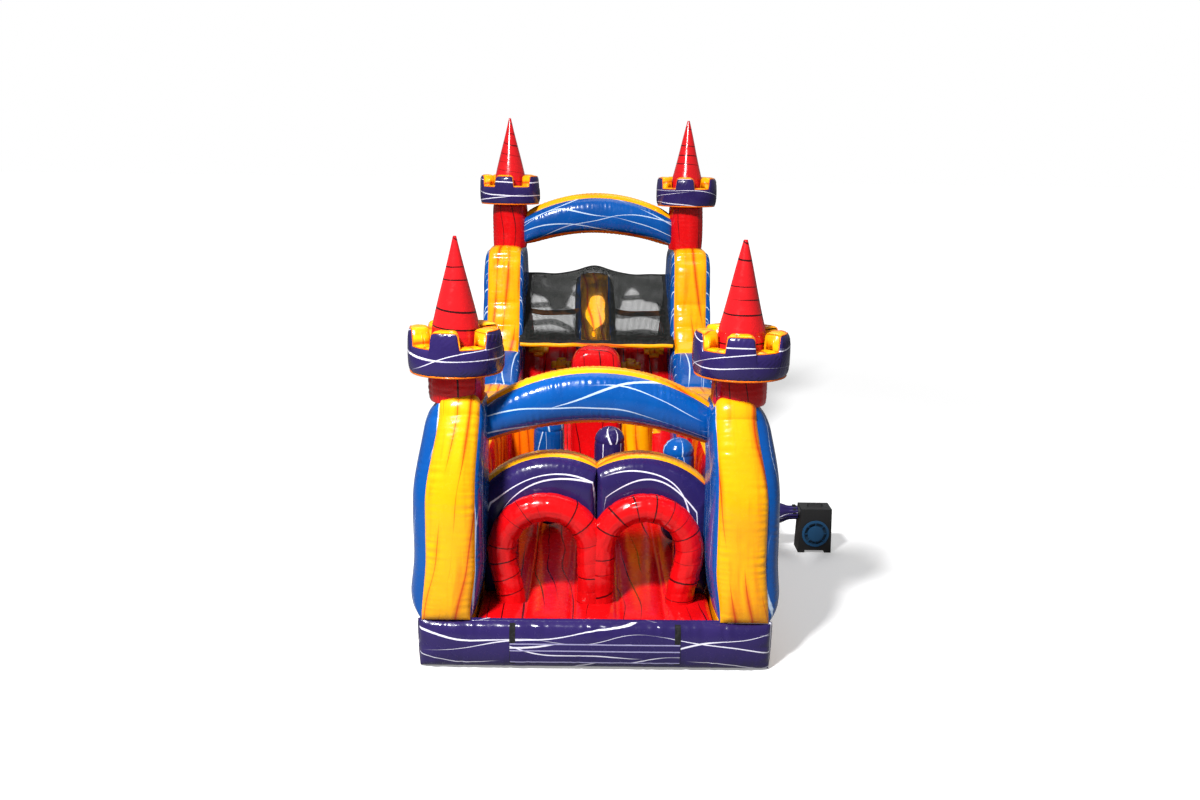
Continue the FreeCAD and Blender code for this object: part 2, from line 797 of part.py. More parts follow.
def build_pillars():
    """Each pillar is round at both ends and turns about the middle of its foot."""
    foot = floor_crest + dim.lean_gap
    skin = dim.air_skin
    for label, x, back, radius, top in PILLARS:
        air = round_ended(x, back, foot + skin, radius - skin, top - skin)
        kept(cut(round_ended(x, back, foot, radius, top), air), label)


def build_anchors():
    """A D-shaped ring in each webbing tab; its bar passes through the tab's loop."""
    tabs = []
    bar_half = dim.ring_bend + dim.ring_wire
    for label, sign, back in ANCHORS:
        x = (half_width + dim.tab_out) * sign
        tab = box(low_x(sign, half_width, dim.tab_out + dim.ring_wire * 2), back - dim.tab_wide / 2,
                  dim.tab_top - dim.ring_wire * 2, dim.tab_out + dim.ring_wire * 2, dim.tab_wide,
                  dim.ring_wire * 4)
        bore = drum_back(x, back - dim.tab_wide, dim.tab_top, dim.ring_bore, dim.tab_wide * 2)
        tabs.append(cut(tab, bore))
        bow = turned(doc.addObject("Part::Torus", "Bow"), (1, -1, 1), 240.0)
        bind(bow, Radius1=dim.ring_bend, Radius2=dim.ring_wire)
        bow.Angle3 = 180.0
        stand(bow, x, back, dim.tab_top)
        bar = drum_back(x, back - bar_half, dim.tab_top, dim.ring_wire, bar_half * 2)
        kept(fused(bow, bar), label)
    kept(grouped(tabs), "anchor_tabs")


def build_zip():
    """The zip that lets the air out, low on the left side near the back."""
    tape = box(-half_width - dim.zip_thick, dim.zip_back, dim.zip_low, dim.zip_thick, dim.zip_length,
               dim.zip_wide)
    kept(tape, "zip_tape")
    slider_thick = dim.zip_thick * 2
    slider_x = -half_width - dim.zip_thick - dim.slider_gap - slider_thick
    slider = box(slider_x, dim.zip_back + dim.slider_length, dim.zip_low + dim.zip_wide / 4, slider_thick,
                 dim.slider_length, dim.zip_wide / 2)
    kept(slider, "zip_slider")


# ---------------------------------------------------------------------------------------------------
# Blower and the tube that carries its air to the wall
# ---------------------------------------------------------------------------------------------------

blower_middle = dim.blower_back + dim.blower_depth / 2
shoulder_x = dim.blower_mid - dim.blower_shoulder_half


def housing_outline(inset):
    return [
        (dim.blower_mid - dim.blower_half + inset, dim.blower_low + inset),
        (dim.blower_mid - dim.blower_shoulder_half + inset, dim.blower_high - inset),
        (dim.blower_mid + dim.blower_shoulder_half - inset, dim.blower_high - inset),
        (dim.blower_mid + dim.blower_half - inset, dim.blower_low + inset),
    ]


def build_housing():
    """Two moulded shells that meet at the middle; the outlet's hole is shared between them."""
    depth = dim.blower_depth / 2
    hollow = depth - dim.shell_wall
    throat = dim.nozzle_radius - dim.shell_wall
    outlet_x = shoulder_x - dim.outlet_cut / 2
    for label, back, air_back, mouth in (
            ("blower_front_shell", dim.blower_back, dim.blower_back + dim.shell_wall, True),
            ("blower_back_shell", blower_middle, blower_middle, False)):
        outer = front_plate([(housing_outline(0), {})], back, depth)
        air = front_plate([(housing_outline(dim.shell_wall), {})], air_back, hollow)
        outlet = drum(outlet_x, blower_middle, dim.nozzle_top, throat, dim.outlet_cut, (0, 1, 0), 90.0)
        tools = [air, outlet]
        if mouth:
            tools.append(drum_back(dim.blower_mid, dim.blower_back - depth, dim.blower_shaft_top,
                                   dim.intake_radius, depth * 2))
        else:
            tools.append(drum_back(dim.blower_mid, blower_middle, dim.blower_shaft_top,
                                   dim.shaft_hole, depth * 2))
        kept(cut(outer, fused(*tools)), label)


def build_grille():
    """The blue ring, its centre disc and the bars between them."""
    front = dim.blower_back - dim.grille_thick
    z = dim.blower_shaft_top
    ring = cut(drum_back(dim.blower_mid, front, z, dim.grille_radius, dim.grille_thick),
               drum_back(dim.blower_mid, front, z, dim.intake_radius, dim.grille_thick))
    disc = drum_back(dim.blower_mid, front, z, dim.grille_disc, dim.grille_thick)
    shapes = [ring, disc]
    reach = (dim.intake_radius + dim.grille_radius) / 2
    for index in range(GRILLE_BARS):
        bar = turned(doc.addObject("Part::Box", "Bar"), (0, 1, 0), 360.0 / GRILLE_BARS * index)
        bind(bar, Length=reach, Width=dim.grille_thick, Height=dim.shell_wall)
        shapes.append(stand(bar, dim.blower_mid, front, z))
    kept(fused(*shapes), "intake_grille")


def build_impeller():
    """A back disc, a hub with its shaft, a front ring and straight blades between them."""
    z = dim.blower_shaft_top
    front = dim.blower_back + dim.shell_wall + dim.fan_gap
    disc_back = front + dim.fan_depth
    rim = cut(drum_back(dim.blower_mid, front, z, dim.fan_radius, dim.shell_wall),
              drum_back(dim.blower_mid, front, z, dim.grille_disc, dim.shell_wall))
    disc = drum_back(dim.blower_mid, disc_back, z, dim.fan_radius, dim.shell_wall)
    hub_back = disc_back + dim.shell_wall - dim.hub_length
    hub = drum_back(dim.blower_mid, hub_back, z, dim.hub_radius, dim.hub_length)
    reach = dim.blower_back + dim.blower_depth + dim.motor_depth / 2 - disc_back
    shaft = drum_back(dim.blower_mid, disc_back, z, dim.shaft_radius, reach)
    shapes = [rim, disc, hub, shaft]
    for index in range(FAN_BLADES):
        angle = 360.0 / FAN_BLADES * index
        offset = FreeCAD.Rotation(FreeCAD.Vector(0, 1, 0), angle).multVec(FreeCAD.Vector(1, 0, 0))
        blade = turned(doc.addObject("Part::Box", "Blade"), (0, 1, 0), angle)
        bind(blade, Length=dim.fan_radius - dim.grille_disc - dim.shell_wall, Width=dim.fan_depth,
             Height=dim.shell_wall / 2)
        x = dim.blower_mid + dim.grille_disc * offset.x
        shapes.append(stand(blade, x, front, z + dim.grille_disc * offset.z))
    kept(fused(*shapes), "impeller")


def build_motor():
    back = dim.blower_back + dim.blower_depth
    can = drum_back(dim.blower_mid, back, dim.blower_shaft_top, dim.motor_radius, dim.motor_depth)
    reach = dim.motor_depth / 2 + dim.shaft_gap
    bore = drum_back(dim.blower_mid, back, dim.blower_shaft_top, dim.shaft_radius + dim.shaft_gap, reach)
    kept(cut(can, bore), "blower_motor")


def build_blower_trim():
    """Rubber feet and a carrying handle."""
    feet = []
    for name, sign in SIDES:
        inner = dim.blower_half - dim.foot_wide
        x = dim.blower_mid + low_x(sign, inner, dim.foot_wide)
        feet.append(box(x, dim.blower_back, 0, dim.foot_wide, dim.blower_depth, dim.blower_low))
    kept(grouped(feet), "blower_feet")

    grip = dim.handle_bar
    half = dim.blower_shoulder_half / 2
    top = dim.blower_high
    bar = box(dim.blower_mid - half, blower_middle - grip, top + grip * 2, half * 2, grip * 2, grip)
    legs = []
    for name, sign in SIDES:
        x = dim.blower_mid + low_x(sign, half - grip, grip)
        legs.append(box(x, blower_middle - grip, top, grip, grip * 2, grip * 2))
    kept(fused(bar, *legs), "blower_handle")


def build_switch():
    """A plate on the back shell with the power inlet and a rocker that is pressed at its top or foot."""
    back = dim.blower_back + dim.blower_depth
    x = dim.blower_mid - dim.plate_wide / 2
    low = dim.plate_middle - dim.plate_tall / 2
    seat = box(x, back, low, dim.plate_wide, dim.shell_wall, dim.plate_tall)
    inlet = box(x + dim.plate_margin, back + dim.shell_wall, dim.plate_middle - dim.inlet_wide / 2,
                dim.inlet_wide, dim.inlet_deep, dim.inlet_wide)
    kept(fused(seat, inlet), "switch_plate")

    half = dim.rocker_tall / 2
    rocker = plate("YZ_Plane", [([
        (-dim.rocker_sole, -half),
        (dim.rocker_sole, -half),
        (0, 0),
        (dim.rocker_sole, half),
        (-dim.rocker_sole, half),
    ], {})], dim.rocker_wide, False)
    turned(rocker, (1, 0, 0), ROCKER_TILT)
    rocker_x = x + dim.plate_wide - dim.plate_margin - dim.rocker_wide
    kept(stand(rocker, rocker_x, back + dim.shell_wall + dim.rocker_out, dim.plate_middle), "switch_rocker")


def build_duct():
    """The outlet nozzle, the fabric tube whose sleeve covers it, and the strap that closes the sleeve."""
    nozzle_x = shoulder_x - dim.nozzle_reach
    reach = dim.nozzle_reach + dim.nozzle_into
    pipe = drum(nozzle_x, blower_middle, dim.nozzle_top, dim.nozzle_radius, reach, (0, 1, 0), 90.0)
    throat = drum(nozzle_x, blower_middle, dim.nozzle_top, dim.nozzle_radius - dim.shell_wall, reach,
                  (0, 1, 0), 90.0)
    outside = front_plate([(housing_outline(0), {})], dim.blower_back, dim.blower_depth)
    kept(cut(cut(pipe, throat), outside), "outlet_nozzle")

    length = nozzle_x + dim.sleeve_cover - half_width
    bore = dim.nozzle_radius + dim.shaft_gap
    points = [
        (0, 0),
        (dim.duct_radius, 0),
        (dim.duct_radius, dim.duct_full),
        (dim.sleeve_radius, length - dim.duct_sleeve),
        (dim.sleeve_radius, length),
        (bore, length),
        (bore, length - dim.sleeve_cover),
        (0, length - dim.sleeve_cover),
    ]
    duct = turning(points)
    turned(duct, (0, 1, 0), 90.0)
    kept(stand(duct, half_width, blower_middle, dim.nozzle_top), "inflation_tube")

    strap_x = half_width + length - (dim.duct_sleeve + dim.strap_wide) / 2
    outer = drum(strap_x, blower_middle, dim.nozzle_top, dim.sleeve_radius + dim.strap_thick, dim.strap_wide,
                 (0, 1, 0), 90.0)
    inner = drum(strap_x, blower_middle, dim.nozzle_top, dim.sleeve_radius, dim.strap_wide, (0, 1, 0), 90.0)
    buckle = box(strap_x, blower_middle - dim.strap_wide / 2,
                 dim.nozzle_top + dim.sleeve_radius + dim.strap_thick / 2,
                 dim.strap_wide, dim.strap_wide, dim.strap_thick * 3)
    kept(fused(cut(outer, inner), buckle), "tube_strap")


# ---------------------------------------------------------------------------------------------------
# The whole unit
# ---------------------------------------------------------------------------------------------------

def check_document():
    """Stops at an object that failed, or at a sub-part with no sound shape."""
    for item in doc.Objects:
        if "Invalid" in item.State or "Error" in item.State:
            raise RuntimeError("failed object: %s (%s)" % (item.Label, item.Name))
    for item in nodes:
        if item.Shape.isNull() or not item.Shape.isValid() or not item.Shape.Solids:
            raise RuntimeError("unsound shape: " + item.Label)


def write_parts():
    os.makedirs("parts", exist_ok=True)
    total = 0.0
    for item in nodes:
        item.Shape.exportStep("parts/%s.step" % item.Label)
        total += item.Shape.Volume / 1e9
        print("%-26s %2d solids %8.4f m3" % (item.Label, len(item.Shape.Solids), item.Shape.Volume / 1e9))
    print(len(nodes), "nodes, %.2f m3 of material" % total)


build_front_panel()
build_banner()
build_floor()
build_bases()
build_front_columns()
build_side_walls()
build_rear_walls()
build_slide_walls()
build_bumper()
build_tunnel_wall()
build_tunnel_rings()
build_arches(build_towers())
build_climb()
build_holds()
build_slide()
build_dividers()
build_net()
build_pillars()
build_anchors()
build_zip()
build_housing()
build_grille()
build_impeller()
build_motor()
build_blower_trim()
build_switch()
build_duct()
doc.recompute()
check_document()
write_parts()
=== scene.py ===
import bmesh
import bpy
import numpy as np
from math import atan2, cos, hypot, pi, radians, sin
from mathutils import Matrix, Vector


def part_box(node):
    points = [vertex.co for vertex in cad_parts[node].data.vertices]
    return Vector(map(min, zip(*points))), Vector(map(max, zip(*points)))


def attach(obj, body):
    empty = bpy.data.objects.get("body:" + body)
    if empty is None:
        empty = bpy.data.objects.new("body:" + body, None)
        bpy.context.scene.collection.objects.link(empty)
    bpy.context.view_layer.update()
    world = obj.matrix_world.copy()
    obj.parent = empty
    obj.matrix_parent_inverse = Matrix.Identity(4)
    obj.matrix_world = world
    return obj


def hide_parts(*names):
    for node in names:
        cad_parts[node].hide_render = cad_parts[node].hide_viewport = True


# Looks of a two-lane inflatable obstacle course. Metres, in the frame of the CAD model:
# X across the lanes, Y from the entrance to the end of the slide, Z up.
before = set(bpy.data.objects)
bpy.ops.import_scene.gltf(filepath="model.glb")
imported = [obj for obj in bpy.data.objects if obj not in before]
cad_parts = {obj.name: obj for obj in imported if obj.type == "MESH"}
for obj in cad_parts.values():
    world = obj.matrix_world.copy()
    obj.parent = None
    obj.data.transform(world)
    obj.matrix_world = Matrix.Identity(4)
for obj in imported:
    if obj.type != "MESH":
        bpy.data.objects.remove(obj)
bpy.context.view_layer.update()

BODY = "course"
SIDES = (("left", -1), ("right", 1))
STEP = 0.022          # grid spacing on chambers that are seen close to
PINCH = 0.045         # how far from a seam its puckers are highest
REACH = 0.30          # how far from a seam a bulge reaches its full height
WELDS_PER_METRE = 20000
VEIN_HALF = 0.0060    # half the width of a vein
VEIN_EDGE = 0.004     # how far a vein's colour fades out
GLOW_REACH = 0.050    # how far the warm tint round a vein reaches
FLAT = dict(pucker=0.0, open_s=True, open_t=True)


# ---- Vinyl, webbing, mesh, plastic and metal ----

class Nodes:
    """A short way to build a material's node tree."""

    def __init__(self, name):
        self.material = bpy.data.materials.new(name)
        self.material.use_nodes = True
        self.tree = self.material.node_tree
        self.shader = self.tree.nodes["Principled BSDF"]
        self.place = self.add("ShaderNodeTexCoord").outputs["Object"]

    def add(self, kind, inputs=None, **settings):
        node = self.tree.nodes.new(kind)
        for key, value in settings.items():
            setattr(node, key, value)
        for key, value in (inputs or {}).items():
            self.put(node.inputs[key], value)
        return node

    def put(self, socket, value):
        if isinstance(value, bpy.types.NodeSocket):
            self.tree.links.new(value, socket)
        else:
            socket.default_value = value

    def maths(self, operation, *values):
        return self.add("ShaderNodeMath", dict(enumerate(values)), operation=operation).outputs[0]

    def times(self, *values):
        return self.maths("MULTIPLY", *values)

    def join(self, x, y, z):
        return self.add("ShaderNodeCombineXYZ", {"X": x, "Y": y, "Z": z}).outputs[0]

    def noise(self, vector, scale, detail=3.0, roughness=0.55):
        inputs = {"Vector": vector, "Scale": scale, "Detail": detail, "Roughness": roughness}
        return self.add("ShaderNodeTexNoise", inputs).outputs["Fac"]

    def ramp(self, value, low, high, to_low=0.0, to_high=1.0):
        inputs = {"Value": value, "From Min": low, "From Max": high, "To Min": to_low, "To Max": to_high}
        return self.add("ShaderNodeMapRange", inputs, interpolation_type="SMOOTHSTEP").outputs["Result"]

    def mix(self, share, first, second, blend="MIX"):
        node = self.add("ShaderNodeMix", data_type="RGBA", blend_type=blend)
        for index, value in ((0, share), (6, first), (7, second)):
            self.put(node.inputs[index], value)
        return node.outputs[2]

    def set(self, **values):
        for name, value in values.items():
            self.put(self.shader.inputs[name.replace("_", " ")], value)

    def bump(self, height, distance, strength=1.0, normal=None):
        inputs = {"Height": height, "Distance": distance, "Strength": strength}
        node = self.add("ShaderNodeBump", inputs)
        if normal is not None:
            self.put(node.inputs["Normal"], normal)
        return node.outputs["Normal"]


def rgba(colour):
    return (*colour, 1.0)


def vinyl(name, base, deep, vein, spacing, halo=0.0, strength=1.0, crossing=False):
    """Glossy PVC-coated cloth with long, thin, wandering veins along the first grain coordinate."""
    n = Nodes(name)
    grain = n.add("ShaderNodeUVMap", uv_map="grain").outputs["UV"]
    split = n.add("ShaderNodeSeparateXYZ", {"Vector": grain})
    along, across = split.outputs[0], split.outputs[1]
    veins = glow = 0.0
    runs = [(spacing, 2.1, 0.07, 0.0)] + [(spacing * 1.7, 1.1, -0.16, 7.3)] * crossing
    for gap, sway, tilt, seed in runs:
        wander = n.noise(n.join(n.times(along, 0.42), n.times(across, 0.75), seed), 1.5, 1.0)
        leaning = n.maths("MULTIPLY_ADD", along, tilt, across)
        phase = n.maths("MULTIPLY_ADD", wander, sway, n.maths("DIVIDE", leaning, gap))
        away = n.maths("ABSOLUTE", n.maths("SUBTRACT", n.maths("FRACT", phase), 0.5))
        row = n.times(n.maths("FLOOR", phase), 2.7)
        gate = n.noise(n.join(along, row, seed + 3.1), 0.8, 1.0)
        soft = n.maths("SUBTRACT", away, n.ramp(gate, 0.40, 0.62, 0.0, VEIN_HALF / gap))
        vein_here = n.ramp(soft, 0.0, VEIN_EDGE / gap, strength, 0.0)
        veins = n.maths("MAXIMUM", veins, n.times(vein_here, n.ramp(gate, 0.38, 0.46)))
        tint = n.times(n.ramp(away, 0.0, GLOW_REACH / gap, 1.0, 0.0), n.ramp(gate, 0.40, 0.62))
        glow = n.maths("MAXIMUM", glow, tint)
    cloud = n.ramp(n.noise(n.place, 1.9, 4.0), 0.32, 0.68)
    colour = n.mix(n.times(cloud, 0.45), rgba(base), rgba(deep))
    if halo:
        streaks = n.join(n.times(along, 0.6), n.times(across, 5.0), 1.7)
        streak = n.ramp(n.noise(streaks, 1.5, 4.0), 0.50, 0.74)
        warm = n.maths("MAXIMUM", n.times(streak, 0.55), glow)
        colour = n.mix(n.times(warm, halo), colour, rgba(vein))
    colour = n.mix(veins, colour, rgba(vein))
    scuff = n.noise(n.place, 14.0, 5.0, 0.65)
    n.set(Base_Color=colour, Roughness=n.ramp(scuff, 0.35, 0.75, 0.16, 0.34),
          Specular_IOR_Level=0.24, Coat_Weight=0.20, Coat_Roughness=0.12)
    ripple = n.bump(n.noise(n.place, 11.0, 2.0), 0.010, 0.38)
    n.set(Normal=n.bump(n.noise(n.place, 420.0, 1.0), 0.0004, 0.35, ripple))
    return n.material


def woven(name, colour, pitch=0.0022):
    """Black webbing and hook tape: a fine crossed weave."""
    n = Nodes(name)
    split = n.add("ShaderNodeSeparateXYZ", {"Vector": n.place})
    waves = [n.maths("SINE", n.times(split.outputs[axis], 2 * pi / pitch)) for axis in range(3)]
    weave = n.maths("ADD", waves[0], n.times(waves[1], waves[2]))
    dust = n.ramp(n.noise(n.place, 22.0, 4.0), 0.4, 0.75)
    pale = tuple(min(1.0, c + 0.018) for c in colour)
    n.set(Base_Color=n.mix(dust, rgba(colour), rgba(pale)), Roughness=0.85, Specular_IOR_Level=0.15)
    n.set(Normal=n.bump(weave, 0.0006, 0.6))
    return n.material


def plastic(name, colour, rough, grain=900.0):
    """Moulded plastic with a fine spark texture, a little dust and paler edges."""
    n = Nodes(name)
    dust = n.ramp(n.noise(n.place, 7.0, 5.0), 0.45, 0.8)
    edge = n.ramp(n.add("ShaderNodeNewGeometry").outputs["Pointiness"], 0.51, 0.60)
    pale = tuple(min(1.0, c * 1.5 + 0.02) for c in colour)
    worn = n.maths("MAXIMUM", n.times(dust, 0.35), n.times(edge, 0.5))
    n.set(Base_Color=n.mix(worn, rgba(colour), rgba(pale)),
          Roughness=n.ramp(n.noise(n.place, 30.0, 3.0), 0.3, 0.7, rough, rough + 0.15))
    n.set(Normal=n.bump(n.noise(n.place, grain, 1.0), 0.0003, 0.4))
    return n.material


def metal(name, colour, rough):
    n = Nodes(name)
    stretched = n.add("ShaderNodeMapping", {"Vector": n.place, "Scale": (1.0, 40.0, 1.0)}).outputs[0]
    brushed = n.noise(stretched, 60.0, 3.0)
    n.set(Base_Color=rgba(colour), Metallic=1.0, Roughness=n.ramp(brushed, 0.3, 0.7, rough, rough + 0.18))
    n.set(Normal=n.bump(brushed, 0.0002, 0.3))
    return n.material


def clear_film(name):
    """The see-through pocket on the banner: pale, glossy lines along its welds."""
    n = Nodes(name)
    haze = n.ramp(n.noise(n.place, 18.0, 4.0), 0.35, 0.7, 0.30, 0.45)
    n.set(Base_Color=(0.30, 0.28, 0.48, 1.0), Roughness=haze, Coat_Weight=0.6)
    n.set(Normal=n.bump(n.noise(n.place, 30.0, 3.0), 0.004, 0.5))
    return n.material


RED = vinyl("vinyl_red", (0.64, 0.003, 0.005), (0.42, 0.002, 0.003), (0.050, 0.002, 0.003), 0.18)
SPIRE = vinyl("vinyl_spire", (0.56, 0.008, 0.012), (0.42, 0.006, 0.009), (0.035, 0.002, 0.003), 0.15)
YELLOW = vinyl("vinyl_yellow", (0.92, 0.41, 0.002), (0.86, 0.29, 0.002), (0.60, 0.060, 0.001), 0.15,
               halo=0.80, strength=0.85)
ORANGE = vinyl("vinyl_orange", (0.82, 0.17, 0.002), (0.72, 0.11, 0.002), (0.48, 0.03, 0.001), 0.13, halo=0.5)
BLUE = vinyl("vinyl_blue", (0.001, 0.078, 0.33), (0.001, 0.038, 0.20), (0.62, 0.76, 0.90), 0.21,
             strength=0.75, crossing=True)
PURPLE = vinyl("vinyl_purple", (0.024, 0.014, 0.096), (0.011, 0.007, 0.054), (0.80, 0.78, 0.90), 0.22,
               strength=0.92, crossing=True)
BLACK_CLOTH = woven("webbing_black", (0.012, 0.012, 0.012))
TAN = woven("webbing_tan", (0.34, 0.13, 0.035))
MESH = woven("mesh_black", (0.004, 0.005, 0.004))
CLEAR = clear_film("clear_pocket")
BLACK_PLASTIC = plastic("plastic_black", (0.003, 0.003, 0.0035), 0.48)
BLUE_PLASTIC = plastic("plastic_blue", (0.002, 0.062, 0.16), 0.36)
FAN_PLASTIC = plastic("plastic_fan", (0.003, 0.035, 0.080), 0.45)
RUBBER = plastic("rubber_black", (0.012, 0.012, 0.012), 0.75, 500.0)
ZINC = metal("zinc_steel", (0.60, 0.60, 0.62), 0.28)
MOTOR = metal("motor_black", (0.030, 0.030, 0.032), 0.42)


# ---- Inflated cloth: a patch is a grid of points that bulges between its seams and puckers beside them ----

def swell(away, reach):
    """Height of a bulge, from 0 at a seam to 1 at reach from it."""
    return np.sqrt(1 - (1 - np.clip(away / reach, 0, 1)) ** 2.2)


def folds(along, seed, spacing):
    """Rounded ridges with sharp valleys between them, uneven in width and in strength."""
    turn = np.random.default_rng(seed).uniform(0, 2 * pi, 4)
    wobble = 0.9 * np.sin(along * 17 + turn[0]) + 0.7 * np.sin(along * 7.3 + turn[1])
    ridge = np.abs(np.sin(pi * along / spacing + wobble + turn[2]))
    fade = 0.30 + 0.70 * (0.5 + 0.5 * np.sin(along * 9.7 + turn[3] + wobble)) ** 2
    return (ridge - 0.64) * fade


def lengths(points, axis):
    """Running length along one axis of a grid, one row or column at a time."""
    steps = np.linalg.norm(np.diff(points, axis=axis), axis=2)
    start = np.zeros_like(np.take(steps, [0], axis=axis))
    return np.concatenate([start, np.cumsum(steps, axis=axis)], axis=axis)


def cell_dome(share, total, seams, valley, open_ends):
    """A bulge over the whole width, with a valley at each seam inside it."""
    inner = np.asarray(seams[1:-1], float)
    height = 1.0
    if not open_ends:
        height = swell(np.minimum(share, 1 - share) * total, np.minimum(total / 2, REACH))
    if len(inner):
        gap = np.diff(np.asarray(seams, float)).min()
        away = np.abs(share[..., None] - inner).min(axis=-1) * total
        height = height * (1 - valley * (1 - swell(away, np.minimum(gap * total / 2, REACH))))
    return height * np.ones_like(share)


def even(count):
    return np.linspace(0, 1, count + 1)


class Patch:
    """One panel of a chamber. rise is how far it bulges, s_seams and t_seams are shares along each way."""

    def __init__(self, points, paint, rise=0.0, s_seams=(0, 1), t_seams=(0, 1), valley=0.5, pucker=0.006,
                 spacing=0.055, grain="s", seed=1, inside=None, loops=(), open_s=False, open_t=False):
        self.paints = paint if isinstance(paint, list) else [paint]
        self.marks = s_seams if isinstance(paint, list) else (0, 1)
        self.loops = loops
        self.base = points
        self.grain = self.grain_of(points, grain, seed) if isinstance(grain, str) else grain
        self.points = points + self.lift(points, rise, s_seams, t_seams, valley, pucker, spacing, seed,
                                         inside, open_s, open_t)

    @staticmethod
    def grain_of(points, way, seed):
        s_run = lengths(points, 0).mean(axis=1)[:, None] * np.ones(points.shape[1])
        t_run = lengths(points, 1).mean(axis=0)[None, :] * np.ones((points.shape[0], 1))
        pair = (s_run, t_run) if way == "s" else (t_run, s_run)
        return np.stack(pair, axis=2) + np.array([seed * 3.7, seed * 1.9])

    @staticmethod
    def lift(points, rise, s_seams, t_seams, valley, pucker, spacing, seed, inside, open_s, open_t):
        normal = np.cross(np.gradient(points, axis=0), np.gradient(points, axis=1))
        size = np.linalg.norm(normal, axis=2, keepdims=True)
        normal = normal / np.maximum(size, 1e-12)
        centre = points.mean(axis=(0, 1)) if inside is None else np.asarray(inside, float)
        if inside is not None and np.sum(normal * (points - centre)) < 0:
            normal = -normal
        s_run, t_run = lengths(points, 0), lengths(points, 1)
        s_all = np.maximum(s_run[-1:, :], 1e-6)
        t_all = np.maximum(t_run[:, -1:], 1e-6)
        s_share, t_share = s_run / s_all, t_run / t_all
        s_dome = cell_dome(s_share, s_all, s_seams, valley, open_s)
        t_dome = cell_dome(t_share, t_all, t_seams, valley, open_t)
        height = rise * s_dome * t_dome
        for seams, share, total, along, other, ends in (
                (s_seams, s_share, s_all, t_run, t_dome, open_s),
                (t_seams, t_share, t_all, s_run, s_dome, open_t)):
            for index, mark in enumerate(seams):
                if ends and index in (0, len(seams) - 1):
                    continue
                away = np.abs(share - mark) * total
                near = away / PINCH * np.exp(1 - away / PINCH)
                side = 2 * index + (share > mark)
                for half in (0, 1):
                    wave = folds(along, seed * 131 + index * 17 + half, spacing)
                    height = height + pucker * near * wave * np.minimum(other, 1) * (side % 2 == half)
        if pucker:
            x, y, z = points[..., 0], points[..., 1], points[..., 2]
            drift = np.sin(x * 5.1 + seed) * np.sin(y * 4.3 + seed * 2) + np.sin(z * 6.1 + y * 2.2 + seed)
            height = height + 0.003 * drift * np.minimum(s_dome * t_dome, 1)
        return normal * np.asarray(height)[..., None]


def distinct(corners, back):
    """The corners of a face without those that are welded to the one before them."""
    return [corner for place, corner in enumerate(corners) if back[corner] != back[corners[place - 1]]]


def build(name, patches, nodes, body=BODY, sharp=True):
    """Welds patches into one mesh and makes it stand for its CAD nodes."""
    starts = np.cumsum([0] + [p.points.shape[0] * p.points.shape[1] for p in patches])
    everything = np.concatenate([p.points.reshape(-1, 3) for p in patches])
    grain = np.concatenate([p.grain.reshape(-1, 2) for p in patches])
    keys = np.round(everything * WELDS_PER_METRE).astype(np.int64)
    _, first, back = np.unique(keys, axis=0, return_index=True, return_inverse=True)
    back = back.reshape(-1)
    paints, faces, face_grain, face_paint, borders = [], [], [], [], []
    for start, patch in zip(starts, patches):
        rows, columns = patch.points.shape[:2]
        for paint in patch.paints:
            if paint not in paints:
                paints.append(paint)
        shares = (np.arange(rows - 1) + 0.5) / (rows - 1)
        cells = np.clip(np.searchsorted(patch.marks, shares) - 1, 0, len(patch.paints) - 1)
        row_paint = [paints.index(patch.paints[cell]) for cell in cells]
        index = start + np.arange(rows * columns).reshape(rows, columns)
        quads = np.stack([index[:-1, :-1], index[1:, :-1], index[1:, 1:], index[:-1, 1:]], axis=2)
        for number, quad in enumerate(quads.reshape(-1, 4)):
            loop = distinct(quad, back)
            if len({back[corner] for corner in loop}) == len(loop) > 2:
                faces.append([back[corner] for corner in loop])
                face_grain.extend(loop)
                face_paint.append(row_paint[number // (columns - 1)])
        for way, row in patch.loops:
            edge = index[:, row] if way == "t" else index[row]
            ring = distinct(edge, back)
            faces.append([back[corner] for corner in ring])
            face_grain.extend(ring)
            face_paint.append(row_paint[0])
        closed_ring = np.allclose(patch.points[0], patch.points[-1], atol=1e-4)
        sides = [index[:, 0], index[:, -1]] + ([] if closed_ring else [index[0], index[-1]])
        borders += [np.sort(np.stack([back[side[:-1]], back[side[1:]]], axis=1), axis=1) for side in sides]
    mesh = bpy.data.meshes.new(name)
    mesh.from_pydata(everything[first].tolist(), [], faces)
    layer = mesh.uv_layers.new(name="grain")
    layer.data.foreach_set("uv", grain[face_grain].astype(np.float32).ravel())
    mesh.polygons.foreach_set("material_index", face_paint)
    mesh.polygons.foreach_set("use_smooth", [True] * len(faces))
    for paint in paints:
        mesh.materials.append(paint)
    if sharp:
        pairs = np.empty(len(mesh.edges) * 2, np.int64)
        mesh.edges.foreach_get("vertices", pairs)
        pairs = np.sort(pairs.reshape(-1, 2), axis=1)
        codes = pairs[:, 0] * len(first) + pairs[:, 1]
        border = np.concatenate(borders)
        mark = np.isin(codes, border[:, 0] * len(first) + border[:, 1])
        mesh.attributes.new("sharp_edge", "BOOLEAN", "EDGE").data.foreach_set("value", mark)
    mesh.update()
    mesh.validate()
    thing = bpy.data.objects.new(name, mesh)
    bpy.context.collection.objects.link(thing)
    outward(thing)
    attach(thing, body)
    if nodes:
        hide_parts(*nodes)
    return thing


def outward(thing):
    """Turns every face the same way, to the outside."""
    work = bmesh.new()
    work.from_mesh(thing.data)
    bmesh.ops.recalc_face_normals(work, faces=work.faces)
    work.to_mesh(thing.data)
    work.free()


# ---- Outlines: polylines with even spacing, and the panels that close them ----

